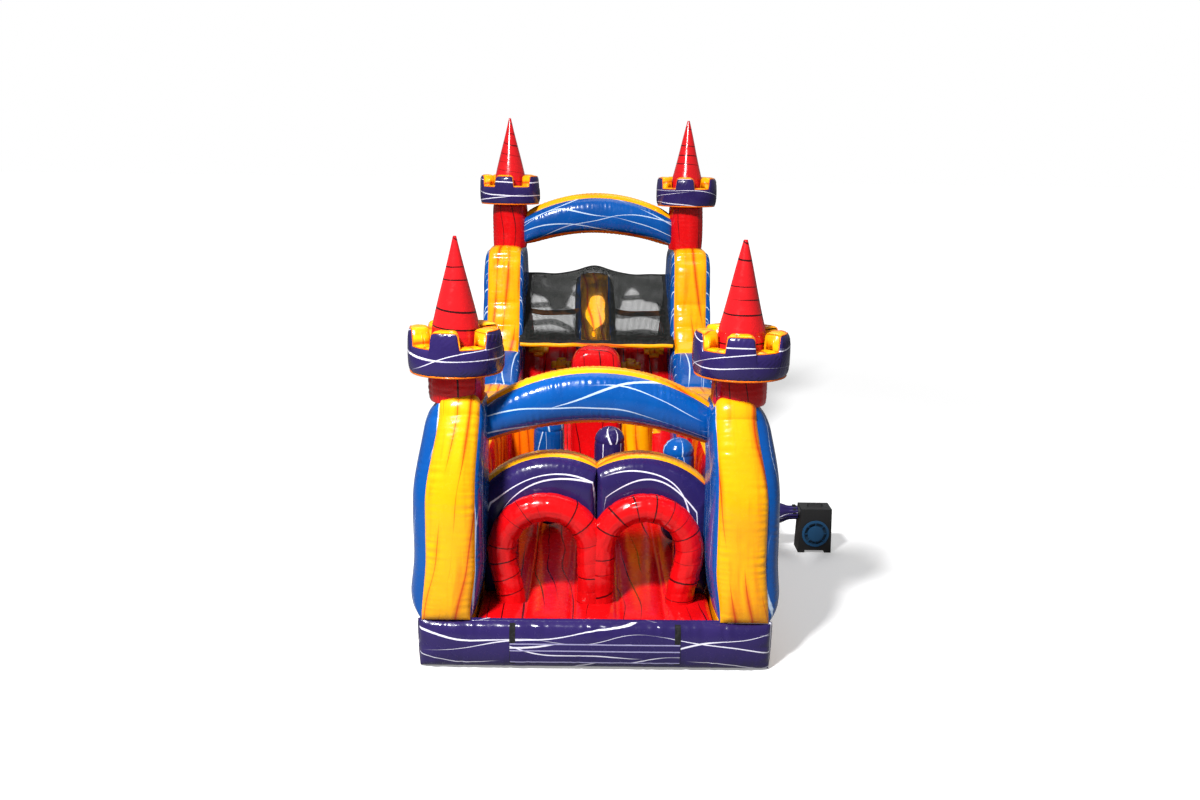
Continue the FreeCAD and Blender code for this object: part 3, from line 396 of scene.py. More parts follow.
def run_of(points):
    """Running length along a polyline."""
    steps = np.linalg.norm(np.diff(np.asarray(points, float), axis=0), axis=1)
    return np.concatenate([[0], np.cumsum(steps)])


def spread(points, count):
    """Evenly spaced points along a polyline, with its ends kept."""
    points, run = np.asarray(points, float), run_of(points)
    marks = np.linspace(0, run[-1], count)
    return np.stack([np.interp(marks, run, points[:, k]) for k in range(points.shape[1])], axis=1)


def line(points, step=STEP):
    """Points about one step apart along a polyline."""
    return spread(points, max(3, int(round(run_of(points)[-1] / step)) + 1))


def arc(centre, radius, start, end, count=24):
    """Points on a circle between two angles in degrees."""
    angles = np.radians(np.linspace(start, end, count))
    return [(centre[0] + radius * cos(a), centre[1] + radius * sin(a)) for a in angles]


def coons(bottom, top, front, back):
    """A grid between four edge lines; bottom and top run along s, front and back along t."""
    s = np.linspace(0, 1, len(bottom))[:, None, None]
    t = np.linspace(0, 1, len(front))[None, :, None]
    ruled_t = (1 - t) * bottom[:, None] + t * top[:, None]
    ruled_s = (1 - s) * front[None, :] + s * back[None, :]
    corners = ((1 - s) * (1 - t) * bottom[0] + s * (1 - t) * bottom[-1]
               + (1 - s) * t * top[0] + s * t * top[-1])
    return ruled_t + ruled_s - corners


def smooth(value, low, high):
    share = np.clip((value - low) / (high - low), 0, 1)
    return share * share * (3 - 2 * share)


class Wall:
    """A chamber with two flat faces and a rim, drawn as an outline that is given a thickness.

    plane "side" draws in (Y, Z) with the thickness along X; "front" draws in (X, Z) with it along Y.
    near and far are the two faces, each a number or a function of the outline's coordinates. The front
    edge joins the first points of bottom and top unless it is given, and the back edge their last ones."""

    def __init__(self, name, bottom, top, near, far, plane="side", step=STEP, front=None):
        self.name, self.plane, self.near, self.far, self.step = name, plane, near, far, step
        front, back = front or [bottom[0], top[0]], [bottom[-1], top[-1]]
        long = max(len(line(bottom, step)), len(line(top, step)))
        tall = max(len(line(front, step)), len(line(back, step)))
        self.edges = {"bottom": spread(bottom, long), "top": spread(top, long),
                      "front": spread(front, tall), "back": spread(back, tall)}
        self.patches = []
        self.middle = self.place(np.concatenate(list(self.edges.values())).mean(axis=0)[None], 0.5)[0]

    def place(self, flat, share):
        """Outline coordinates to space, a share of the way from the near face to the far one."""
        near = self.near(flat[..., 0], flat[..., 1]) if callable(self.near) else self.near
        far = self.far(flat[..., 0], flat[..., 1]) if callable(self.far) else self.far
        depth = near + (far - near) * share + 0 * flat[..., 0]
        a, z = flat[..., 0], flat[..., 1]
        return np.stack((depth, a, z) if self.plane == "side" else (a, depth, z), axis=-1)

    def face(self, which, paint, **how):
        e = self.edges
        flat = coons(e["bottom"], e["top"], e["front"], e["back"])
        self.patches.append(Patch(self.place(flat, which), paint, inside=self.middle, **how))
        return self

    def rim(self, keys, paint, span=(0, 1), **how):
        """A panel along one or more edges, or a share of them, across the thickness."""
        run = [self.edges[key][::-1] if key == "back" else self.edges[key] for key in keys]
        flat = np.concatenate([run[0]] + [piece[1:] for piece in run[1:]])
        low, high = (int(round(share * (len(flat) - 1))) for share in span)
        flat = flat[low:high + 1]
        ends = self.place(flat[:1], 0.0)[0] - self.place(flat[:1], 1.0)[0]
        count = max(3, int(round(np.linalg.norm(ends) / self.step)) + 1)
        grid = np.stack([self.place(flat, share) for share in np.linspace(0, 1, count)], axis=1)
        self.patches.append(Patch(grid, paint, inside=self.middle, **how))
        return self

    def plain(self, paint, *keys):
        """Flat panels along edges that are hidden or hardly seen."""
        for key in keys:
            self.rim((key,), paint, pucker=0.0)

    def build(self, node, slot):
        build(self.name, self.patches, [node])


def block(name, low, high, plane="side", step=STEP, inset=(0.03, 0.03, 0.03)):
    """A Wall with a plain box for its outline, drawn in from the CAD box to leave room for the bulges."""
    (x0, y0, z0), (x1, y1, z1) = np.add(low, inset), np.subtract(high, inset)
    a0, a1, near, far = (y0, y1, x0, x1) if plane == "side" else (x0, x1, y0, y1)
    return Wall(name, [(a0, z0), (a1, z0)], [(a0, z1), (a1, z1)], near, far, plane, step)


def cad_box(node):
    low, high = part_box(node)
    return np.array(low), np.array(high)


def side_box(node, inner, outer):
    """A side chamber's CAD box, and how far its inner and outer skins stand from the course's middle."""
    low, high = cad_box(node)
    near, far = sorted((abs(low[0]), abs(high[0])))
    return low, high, near + inner, far - outer


# ---- Round chambers ----

def ring_grid(profile, centre, around, start=pi / 2):
    """A grid turned about a vertical axis: s runs round it and t along the profile of (radius, height)."""
    angles = start + np.linspace(0, 2 * pi, around + 1)
    radius, height = profile[:, 0][None], profile[:, 1][None]
    x = centre[0] + np.cos(angles)[:, None] * radius
    y = centre[1] + np.sin(angles)[:, None] * radius
    return np.stack([x, y, height + 0 * x], axis=2)


def spokes(side, up, around):
    """Unit vectors round a path, from its sideways and upward directions."""
    angles = np.linspace(0, 2 * pi, around + 1)
    return side[:, None] * np.cos(angles)[None, :, None] + up[:, None] * np.sin(angles)[None, :, None]


def tube_grid(path, radius, around=40):
    """A grid round a path: s runs along it and t round it. radius is a number or one value per point."""
    path = np.asarray(path, float)
    way = np.gradient(path, axis=0)
    way /= np.linalg.norm(way, axis=1)[:, None]
    side = np.cross(way, (0, 1, 0))
    side /= np.maximum(np.linalg.norm(side, axis=1)[:, None], 1e-9)
    up = np.cross(side, way)
    radius = np.broadcast_to(radius, len(path))[:, None, None]
    return path[:, None] + spokes(side, up, around) * radius


def bead(points, radius, paint, closed=False):
    """A thin round piping along a line in space."""
    points = np.asarray(points, float)
    way = np.gradient(points, axis=0)
    if closed:
        way = np.roll(points, -1, axis=0) - np.roll(points, 1, axis=0)
    way /= np.linalg.norm(way, axis=1)[:, None]
    side = np.cross(way, (0.31, 0.17, 0.93))
    side /= np.linalg.norm(side, axis=1)[:, None]
    grid = points[:, None] + spokes(side, np.cross(side, way), 8) * radius
    return Patch(np.concatenate([grid, grid[:1]]) if closed else grid, paint, **FLAT)


# ---- Base: entrance panel with its banner, floor, side bases and the base under the climb ----

def front_panel():
    low, high = cad_box("front_panel")
    x0, x1 = low[0] + 0.02, high[0] - 0.02
    z0, z1 = low[2] + 0.012, high[2] - 0.02
    wall = Wall("entrance_panel", [(x0, z0), (x1, z0)], [(x0, z1), (x1, z1)], low[1] + 0.09, high[1], "front")
    wall.face(0, PURPLE, rise=0.100, pucker=0.017, spacing=0.140, seed=3)
    wall.face(1, PURPLE, pucker=0.0)
    wall.rim(("front", "top", "back"), PURPLE, rise=0.02, pucker=0.004, seed=5)
    wall.plain(PURPLE, "bottom")
    wall.build("front_panel", "purple_vinyl")
    return wall.patches[0]


def draped(face, x_run, z_run, out):
    """A grid that lies on the panel's bulged face, a little in front of it."""
    grid = face.points
    s_run, t_run = face.base[:, 0, 0], face.base[0, :, 2]
    rows = np.interp(x_run, s_run, np.arange(len(s_run)))
    columns = np.interp(z_run, t_run, np.arange(len(t_run)))
    i, j = np.floor(rows).astype(int), np.floor(columns).astype(int)
    i, j = np.minimum(i, len(s_run) - 2), np.minimum(j, len(t_run) - 2)
    u, v = (rows - i)[:, None], (columns - j)[None, :]
    i, j = i[:, None], j[None, :]
    y = ((1 - u) * (1 - v) * grid[i, j, 1] + u * (1 - v) * grid[i + 1, j, 1]
         + (1 - u) * v * grid[i, j + 1, 1] + u * v * grid[i + 1, j + 1, 1])
    return np.stack([x_run[:, None] + 0 * y, y - out, z_run[None, :] + 0 * y], axis=2)


def cloth_strip(face, x0, x1, z0, z1, out, thick, paint):
    """A flat strip of cloth with an edge, draped on the panel."""
    x_run = np.linspace(x0, x1, max(3, int((x1 - x0) / 0.02)))
    z_run = np.linspace(z0, z1, max(3, int((z1 - z0) / 0.012)))
    top = draped(face, x_run, z_run, out + thick)
    under = draped(face, x_run, z_run, out)
    edges = ((top[:, 0], under[:, 0]), (under[:, -1], top[:, -1]), (under[0], top[0]), (top[-1], under[-1]))
    grids = [top, under[:, ::-1]] + [np.stack(pair, 1) for pair in edges]
    return [Patch(grid, paint, seed=11, **FLAT) for grid in grids]


def banner(face):
    """A purple banner between two hook-and-loop strips, with a clear pocket welded along its edges."""
    low, high = cad_box("banner_panel")
    over = 0.055
    patches = cloth_strip(face, low[0] - over, high[0] + over, low[2], high[2], 0.004, 0.003, PURPLE)
    middle = (low[2] + high[2]) / 2
    for z in (low[2] + 0.006, middle + 0.03, high[2] - 0.006):
        patches += cloth_strip(face, low[0] - over, high[0] + over, z - 0.006, z + 0.006, 0.007, 0.002, CLEAR)
    sheet = build("banner", patches, ["banner_panel"])
    low, high = cad_box("banner_strips")
    wide = 0.06
    patches = []
    for x in (low[0], high[0] - wide):
        patches += cloth_strip(face, x, x + wide, low[2] - 0.02, high[2], 0.001, 0.003, BLACK_CLOTH)
    build("hook_strips", patches, ["banner_strips"])


def floor():
    low, high = cad_box("floor_bed")
    tubes = 5
    rise = 0.055
    z = high[2] - rise
    xs = np.linspace(low[0], high[0], 86)
    ys = np.linspace(low[1], high[1], 190)
    grid = np.stack(np.meshgrid(xs, ys, [z], indexing="ij"), axis=-1)[:, :, 0]
    centre = (low + high) / 2
    top = Patch(grid, RED, rise=rise, s_seams=even(tubes), valley=0.9, pucker=0.007, spacing=0.075,
                grain="t", seed=21, inside=centre)
    skirts = []
    for edge in (top.points[0], top.points[-1], top.points[:, 0], top.points[:, -1]):
        foot = edge.copy()
        foot[:, 2] = low[2]
        skirts.append(Patch(np.stack([edge, foot], 1), RED, **FLAT))
    foot = np.stack(np.meshgrid(xs, ys, [low[2]], indexing="ij"), axis=-1)[:, :, 0]
    skirts.append(Patch(foot, RED, **FLAT))
    build("floor_tubes", [top] + skirts, ["floor_bed"])


def bases():
    low, high = cad_box("rear_base")
    wall = block("rear_base_chamber", low, high, step=0.08, inset=(0.0, 0.0, 0.0))
    for side in (0, 1):
        wall.face(side, RED, pucker=0.0)
    wall.rim(("front", "top", "back"), RED, pucker=0.0).plain(RED, "bottom")
    wall.build("rear_base", "red_vinyl")
    for name, sign in SIDES:
        low, high = cad_box("side_base_" + name)
        outer = 1 if sign > 0 else 0
        wall = block("side_base_" + name + "_chamber", low, high, step=0.036, inset=(0.03, 0.0, 0.012))
        wall.face(outer, YELLOW, rise=0.05, s_seams=even(16), valley=0.6, pucker=0.007, seed=31)
        wall.face(1 - outer, YELLOW, pucker=0.0)
        wall.rim(("front", "top", "back"), YELLOW, pucker=0.002).plain(YELLOW, "bottom")
        wall.build("side_base_" + name, "yellow_vinyl")


# ---- Side walls and columns ----

def front_column(name, sign):
    """Yellow band over the front and top, blue sides; it narrows and leans in towards the top."""
    low, high, inner_x, outer_x = side_box("front_column_" + name, 0.012, 0.045)
    y0, y1 = low[1] + 0.085, high[1] - 0.01
    z0, z1 = low[2] - 0.01, high[2] - 0.060
    bend, radius, step = 1.5, 2.166, 0.04
    curve = [(y0, z0), (y0 + step, bend)]
    curve += [(y0 + step + radius - radius * cos(a), bend + radius * sin(a))
              for a in np.linspace(0.03, 0.53, 20)]
    shoulder = curve[-1]
    curve += arc((shoulder[0] + 0.16, shoulder[1]), 0.16, 168, 120, 6)
    last = curve[-1]
    top = [last, (last[0] + 0.10, z1 - 0.01), (last[0] + 0.22, z1), (y1, z1)]

    def inner(y, z):
        return sign * (inner_x + 0.045 - 0.055 * smooth(z, z0, 1.1) - 0.03 * smooth(z, 1.9, z1))

    def outer(y, z):
        return sign * (outer_x - 0.05 * smooth(z, z0, 1.2) - 0.12 * smooth(z, 1.75, z1))

    wall = Wall("column_" + name, [(y0, z0), (y1, z0)], top, inner, outer, front=curve)
    wall.face(0, BLUE, rise=0.065, pucker=0.012, grain="t", seed=41 + sign)
    wall.face(1, BLUE, rise=0.160, pucker=0.014, grain="t", seed=43 + sign)
    wall.rim(("front", "top"), YELLOW, rise=0.095, pucker=0.018, spacing=0.066, seed=46 + sign)
    wall.rim(("back",), BLUE, rise=0.01, seed=47).plain(YELLOW, "bottom")
    wall.build("front_column_" + name, "yellow_vinyl")


def side_wall(name, sign):
    """The low wall between the towers: coloured bays inside, blue outside, yellow rim."""
    low, high, inner_x, outer_x = side_box("side_wall_" + name, 0.075, 0.045)
    y0, y1, z0, z1 = low[1], high[1], low[2], high[2] - 0.05
    wall = Wall("side_" + name, [(y0, z0), (y1, z0)], [(y0, z1), (y1, z1)], sign * inner_x, sign * outer_x,
                step=0.03)
    bays = even(8)
    wall.face(0, [RED, RED, RED, ORANGE, RED, ORANGE, RED, ORANGE], rise=0.06, s_seams=bays, valley=0.7,
              pucker=0.008, grain="t", seed=51 + sign)
    wall.face(1, BLUE, rise=0.07, s_seams=bays, valley=0.6, pucker=0.008, seed=53 + sign)
    wall.rim(("top",), YELLOW, rise=0.06, s_seams=bays, valley=0.3, pucker=0.009, seed=55 + sign)
    wall.plain(BLUE, "front", "back", "bottom")
    wall.build("side_wall_" + name, "blue_vinyl")


def rear_wall(name, sign):
    """The high wall: it slopes up, then rises as the rear column with its quilted yellow band."""
    low, high, inner_x, outer_x = side_box("rear_wall_" + name, 0.03, 0.05)
    y0, y1, z0, z1 = low[1] + 0.02, high[1], low[2], high[2] - 0.05
    knee_y, face_y, seat_y = y0 + 0.97, y0 + 1.46, y0 + 2.60
    rim_z, knee_z, end_z = 1.71, 2.22, 3.15
    foot_y = knee_y + 0.05
    top = [(y0, rim_z), (knee_y - 0.16, knee_z - 0.14), (foot_y, knee_z)]
    top += [(foot_y + 0.18, knee_z + 0.42), (face_y - 0.10, z1 - 0.26), (face_y + 0.02, z1 - 0.05),
            (face_y + 0.12, z1), (seat_y, z1), (y1, end_z)]
    run = run_of(top)
    seams = [0] + [(run[1] + gap) / run[-1] for gap in (0.0, 0.52, 0.90, 1.62)] + [run[-2] / run[-1], 1]
    wall = Wall("rear_side_" + name, [(y0, z0), (y1, z0)], top, sign * inner_x, sign * outer_x, step=0.028)
    wall.face(0, BLUE, rise=0.06, s_seams=even(4), valley=0.5, pucker=0.009, grain="t", seed=61 + sign)
    wall.face(1, BLUE, rise=0.08, s_seams=even(4), valley=0.5, pucker=0.009, grain="t", seed=63 + sign)
    wall.rim(("top",), [BLUE] + [YELLOW] * 5, rise=0.065, s_seams=seams, valley=0.75, pucker=0.012,
             spacing=0.06, seed=65 + sign)
    wall.rim(("front",), RED, rise=0.04, seed=67).plain(BLUE, "back", "bottom")
    wall.build("rear_wall_" + name, "blue_vinyl")


def slide_wall(name, sign):
    low, high, inner_x, outer_x = side_box("slide_wall_" + name, 0.03, 0.05)
    y0, y1, z0, z1 = low[1], high[1], low[2], high[2] - 0.05
    low_y, low_z = y1 - 0.3, 1.40
    wall = Wall("slide_side_" + name, [(y0, z0), (y1, z0)], [(y0, z1), (low_y, low_z), (y1, low_z)],
                sign * inner_x, sign * outer_x, step=0.034)
    wall.face(0, RED, rise=0.06, s_seams=even(5), valley=0.6, pucker=0.008, grain="t", seed=71 + sign)
    wall.face(1, BLUE, rise=0.07, s_seams=even(5), valley=0.6, pucker=0.008, grain="t", seed=73 + sign)
    wall.rim(("top",), YELLOW, rise=0.06, s_seams=even(6), valley=0.35, pucker=0.010, seed=75 + sign)
    wall.plain(BLUE, "front", "back", "bottom")
    wall.build("slide_wall_" + name, "blue_vinyl")


def bumper():
    low, high = cad_box("rear_bumper")
    wall = block("bumper_chamber", low, high, "front", 0.034, inset=(0.045, 0.045, 0.0))
    for entry in wall.edges.values():
        entry[:, 1] = np.clip(entry[:, 1], low[2] + 0.012, high[2] - 0.045)
    for side in (0, 1):
        wall.face(side, PURPLE, rise=0.05, s_seams=even(6), valley=0.55, pucker=0.008, seed=81 + side)
    wall.rim(("front", "top", "back"), YELLOW, rise=0.05, pucker=0.009, seed=83).plain(PURPLE, "bottom")
    wall.build("rear_bumper", "purple_vinyl")


# ---- Tunnel wall and the red tubes round its holes ----

HOLE_PITCH, HOLE_RADIUS = 0.505, 0.355
HOLE_SPRING = 1.065   # height at which a hole's sides end and its round top begins


def tunnel_wall():
    """Two humps with a crease between them; each half is a band that runs round its own hole."""
    low, high = cad_box("tunnel_wall")
    z0, edge_top, valley_top, hump = low[2] - 0.03, 1.665, 1.905, 0.98
    reach = high[0]
    inner_leg, outer_leg = HOLE_PITCH - HOLE_RADIUS, HOLE_PITCH + HOLE_RADIUS
    patches = []
    for sign in (-1, 1):
        hole = [(outer_leg, z0), (outer_leg, HOLE_SPRING)]
        hole += arc((HOLE_PITCH, HOLE_SPRING), HOLE_RADIUS, 0, 180, 40)[1:-1]
        hole += [(inner_leg, HOLE_SPRING), (inner_leg, z0)]
        chord = hypot(reach, valley_top - edge_top)
        drop = (hump * hump - chord * chord / 4) ** 0.5
        way = ((0 - reach) / chord, (valley_top - edge_top) / chord)
        centre = (reach / 2 - way[1] * drop, (edge_top + valley_top) / 2 + way[0] * drop)
        first = np.degrees(atan2(edge_top - centre[1], reach - centre[0]))
        last = np.degrees(atan2(valley_top - centre[1], 0 - centre[0]))
        humped = arc(centre, hump, first, last, 40)
        outer = [(reach, z0), (reach, edge_top)] + humped[1:-1] + [(0, valley_top), (0, z0)]
        rising, over = edge_top - z0, hump * radians(last - first)
        total = rising + over + valley_top - z0
        span = (rising / total, (rising + over) / total)

        hole, outer = ([(sign * x, z) for x, z in points] for points in (hole, outer))
        wall = Wall("half", hole, outer, low[1] + 0.10, high[1] - 0.03, "front")
        count = len(wall.edges["top"]) - 1
        span = tuple(round(share * count) / count for share in span)
        wall.face(0, PURPLE, rise=0.150, pucker=0.017, spacing=0.07, seed=91 + sign)
        wall.face(1, PURPLE, rise=0.04, pucker=0.008, seed=93 + sign)
        wall.rim(("bottom",), RED, pucker=0.004, seed=95)
        wall.rim(("top",), YELLOW, span=span, rise=0.035, pucker=0.013, seed=97 + sign)
        wall.rim(("top",), PURPLE, span=(0, span[0]), pucker=0.0)
        wall.plain(PURPLE, "front", "back")
        patches += wall.patches
    build("tunnel_wall_chamber", patches, ["tunnel_wall"])


def tunnel_rings():
    """A puckered tube with radial seams round each hole; the two meet in the middle leg."""
    low, high = cad_box("tunnel_rings")
    y = (low[1] + high[1]) / 2
    foot = low[2] - 0.045
    lean, step, seam_gap, radius_of_tube = 0.10, 0.0125, 0.165, 0.134
    inner, outer = 0.050, HOLE_PITCH * 2
    middle, radius = (inner + outer) / 2, (outer - inner) / 2
    patches = []
    for sign in (-1, 1):
        path = [(inner, foot), (inner, HOLE_SPRING)]
        path += arc((middle, HOLE_SPRING), radius, 180, 0, 60)[1:-1]
        path += [(outer - lean * smooth(HOLE_SPRING - z, 0.0, HOLE_SPRING - foot), z)
                 for z in np.linspace(HOLE_SPRING, foot, 16)]
        flat = line(path, step)
        spine = np.stack([sign * flat[:, 0], np.full(len(flat), y), flat[:, 1]], axis=1)
        seams = even(int(len(flat) * step / seam_gap))
        grid = tube_grid(spine, radius_of_tube, 56)
        patches.append(Patch(grid, RED, rise=0.020, s_seams=seams, valley=0.30, pucker=0.0085, spacing=0.058,
                             grain="t", seed=101 + sign, inside=grid.mean(axis=(0, 1)), open_s=True,
                             open_t=True, loops=(("s", 0), ("s", -1))))
    build("tunnel_tubes", patches, ["tunnel_rings"], sharp=False)


# ---- Arches, towers and crowns ----

def bowed(half, top, drop, count=60):
    """Points of a shallow arc from -half to half with its top in the middle."""
    radius = (half * half + drop * drop) / (2 * drop)
    reach = np.degrees(np.arcsin(half / radius))
    return arc((0, top - radius), radius, 90 + reach, 90 - reach, count)


def arch(name, node, half, rise, dip, bulge, drop, crest, seed):
    """bulge is how far the blue faces stand out, crest how far the yellow top does, drop its seams' inset."""
    low, high = cad_box(node)
    top = bowed(half, high[2] - drop, rise)
    under = bowed(half, low[2] + dip + 0.03, dip)
    wall = Wall(name, under, top, low[1] + bulge - 0.01, high[1] - 0.11, "front", 0.02)
    wall.face(0, BLUE, rise=bulge, pucker=0.019, spacing=0.062, seed=seed)
    wall.face(1, BLUE, rise=bulge * 0.6, pucker=0.015, seed=seed + 1)
    wall.rim(("top",), YELLOW, rise=crest, pucker=0.013, seed=seed + 2)
    wall.rim(("bottom",), ORANGE, rise=0.05, pucker=0.013, seed=seed + 3)
    wall.plain(BLUE, "front", "back")
    wall.build(node, "blue_vinyl")


def spire(place, name):
    node = "%s_spire_%s" % (place, name)
    low, high = cad_box(node)
    cx, cy = ((low + high) / 2)[:2]
    neck_top = cad_box("%s_crown_%s" % (place, name))[0][2]
    neck, cone, collar, tip = (high[0] - low[0]) / 2, 0.245, 0.38, 0.010
    seed = 121 + int(cx * 10) + int(cy)
    how = dict(open_s=True, inside=(cx, cy, neck_top))
    tall = line([(neck - 0.015, low[2] - 0.03), (neck - 0.015, neck_top)], 0.02)
    shelf = line([(neck - 0.015, neck_top), (cone, neck_top + 0.004)], 0.02)
    slope = [(cone, neck_top + 0.004), (cone, neck_top + collar), (cone - 0.012, neck_top + collar + 0.09)]
    point = line(slope + [(tip, high[2])], 0.02)
    around = 72
    patches = [
        Patch(ring_grid(tall, (cx, cy), around), RED, rise=0.018, s_seams=even(6), valley=0.5, pucker=0.013,
              grain="t", seed=seed, loops=(("t", 0),), **how),
        Patch(ring_grid(shelf, (cx, cy), around), RED, pucker=0.0, seed=seed + 1, **how),
        Patch(ring_grid(point, (cx, cy), around), SPIRE, rise=0.008, pucker=0.004, seed=seed + 2,
              t_seams=(0, 0.30, 1), valley=0.3, open_t=True, loops=(("t", -1),), **how),
    ]
    build("%s_tower_%s" % (place, name), patches, [node])


MERLONS = 5
MERLON_FIRST, MERLON_HALF = -98.0, 17.5       # degrees: where the first one stands, half its width


def crown(place, name):
    """A thick collar with square teeth: purple outside, yellow on top and inside, orange piping below."""
    node = "%s_crown_%s" % (place, name)
    low, high = cad_box(node)
    cx, cy = ((low + high) / 2)[:2]
    outer, inner = (high[0] - low[0]) / 2 - 0.022, 0.29
    band, pitch, slant, metres_per_degree = 0.28, 360.0 / MERLONS, 1.3, 0.0076
    tooth = high[2] - low[2] - band
    marks, heights = [], []
    for index in range(2, MERLONS + 2):
        middle = MERLON_FIRST + pitch * index
        on = np.linspace(middle - MERLON_HALF + slant, middle + MERLON_HALF - slant, 17)
        off = np.linspace(middle + MERLON_HALF + slant, middle + pitch - MERLON_HALF - slant, 15)
        marks += list(on) + list(off)
        edge = swell(np.minimum(on - on[0], on[-1] - on) * metres_per_degree, 0.05)
        heights += list(band + tooth * (0.90 + 0.09 * edge)) + [band * 0.98] * len(off)
    marks.append(marks[0] + 360.0)
    heights.append(heights[0])
    angles, heights = np.radians(marks), np.array(heights)
    z0 = low[2] + 0.015

    def ring(radius, height):
        x, y = cx + radius * np.cos(angles), cy + radius * np.sin(angles)
        return np.stack([x, y, height + 0 * angles], axis=1)

    def strip(first, last, count):
        share = np.linspace(0, 1, count)[None, :, None]
        return first[:, None] * (1 - share) + last[:, None] * share

    foot, lip = ring(outer, z0), ring(outer, z0 + heights)
    back_lip, back_foot = ring(inner, z0 + heights), ring(inner, z0)
    seed = 141 + int(cx * 10) + int(cy)
    middle = (cx, cy, z0)
    how = dict(open_s=True, inside=middle, seed=seed)
    skirt = strip(foot, lip, 24)
    height = skirt[..., 2]
    grain = np.stack([outer * angles[:, None] + 0 * height + seed, height - z0 + seed * 0.37], axis=2)
    patches = [
        Patch(skirt, PURPLE, rise=0.036, pucker=0.014, spacing=0.06, **dict(how, grain=grain)),
        Patch(strip(lip, back_lip, 9), YELLOW, rise=0.020, pucker=0.006, grain="t", **how),
        Patch(strip(back_lip, back_foot, 16), YELLOW, rise=-0.012, pucker=0.0, grain="t", **how),
        Patch(strip(back_foot, foot, 8), PURPLE, pucker=0.0, **how),
        bead(ring(outer + 0.004, z0)[:-1], 0.011, ORANGE, True),
        bead(ring(outer, z0 + heights)[:-1], 0.007, ORANGE, True),
    ]
    build("%s_battlement_%s" % (place, name), patches, [node])


# ---- Climb, slide, dividers and the safety net ----

CLIMB_RUN = 1.6       # from the foot of the climb to its crest, along Y


def climb(name, sign):
    low, high, inner_x, outer_x = side_box("climb_wall_" + name, 0, 0)
    y0, y1, z0, z1 = low[1], high[1], low[2], high[2] - 0.04
    crest = y0 + CLIMB_RUN
    wall = Wall("climb_" + name, [(y0, z0), (y1, z0)], [(y0, z0 + 0.02), (crest, z1), (y1, z1)],
                sign * inner_x, sign * outer_x, step=0.03)
    for side in (0, 1):
        wall.face(side, RED, pucker=0.0)
    slope = hypot(crest - y0, z1 - z0)
    share = slope / (slope + y1 - crest)
    wall.rim(("top",), RED, rise=0.055, s_seams=(0, share, 1), t_seams=even(3), valley=0.8, pucker=0.009,
             spacing=0.07, seed=161 + sign)
    wall.plain(RED, "front", "back", "bottom")
    wall.build("climb_wall_" + name, "red_vinyl")


def islands(node):
    """The separate solids of a CAD node, each as an array of its corners."""
    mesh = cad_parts[node].data
    owner = list(range(len(mesh.vertices)))

    def root(item):
        while owner[item] != item:
            owner[item] = owner[owner[item]]
            item = owner[item]
        return item

    for edge in mesh.edges:
        a, b = root(edge.vertices[0]), root(edge.vertices[1])
        owner[a] = b
    groups, merged = {}, {}
    for vertex in mesh.vertices:
        groups.setdefault(root(vertex.index), []).append(vertex.co[:])
    for points in map(np.array, groups.values()):
        centre = (points.min(axis=0) + points.max(axis=0)) / 2
        merged.setdefault(tuple(np.round(centre, 1)), []).append(points)
    return [np.concatenate(group) for group in merged.values()]


def holds():
    """Square pillows on the climb, each a rounded block with a welded edge round it."""
    low, high = cad_box("climb_wall_left")
    angle = atan2(high[2] - low[2], CLIMB_RUN)
    wide, tall, thick = 0.17, 0.14, 0.06
    u, v = np.meshgrid(np.linspace(-pi / 2, pi / 2, 18), np.linspace(-pi, pi, 37), indexing="ij")

    def rounded(value, power):
        return np.sign(value) * np.abs(value) ** power

    flat = rounded(np.cos(u), 0.45)
    x = wide / 2 * flat * rounded(np.cos(v), 0.35)
    y = tall / 2 * flat * rounded(np.sin(v), 0.35)
    z = thick / 2 * 1.1 * rounded(np.sin(u), 0.7)
    patches = []
    for number, corners in enumerate(islands("climbing_holds")):
        centre = (corners.min(axis=0) + corners.max(axis=0)) / 2
        grid = np.stack([centre[0] + x, centre[1] + y * cos(angle) - z * sin(angle),
                         centre[2] + y * sin(angle) + z * cos(angle)], axis=2)
        patches.append(Patch(grid, YELLOW, seed=171 + number, **FLAT))
    build("hold_pillows", patches, ["climbing_holds"], sharp=False)


def slide():
    low, high = cad_box("slide_bed")
    y0, y1, z0, z1 = low[1], high[1], low[2], high[2] - 0.04
    foot_y, foot_z, end_z = y0 + 2.1, 0.58, 0.53
    wall = Wall("slide_chamber", [(y0, z0), (y1, z0)], [(y0, z1), (foot_y, foot_z), (y1, end_z)],
                low[0], high[0], step=0.036)
    for side in (0, 1):
        wall.face(side, BLUE, pucker=0.0)
    slope = hypot(foot_y - y0, z1 - foot_z)
    share = slope / (slope + y1 - foot_y)
    wall.rim(("top",), [BLUE, RED], rise=0.045, s_seams=(0, share, 1), t_seams=even(6), valley=0.8,
             pucker=0.007, seed=181)
    wall.plain(BLUE, "front", "back", "bottom")
    wall.build("slide_bed", "red_vinyl")


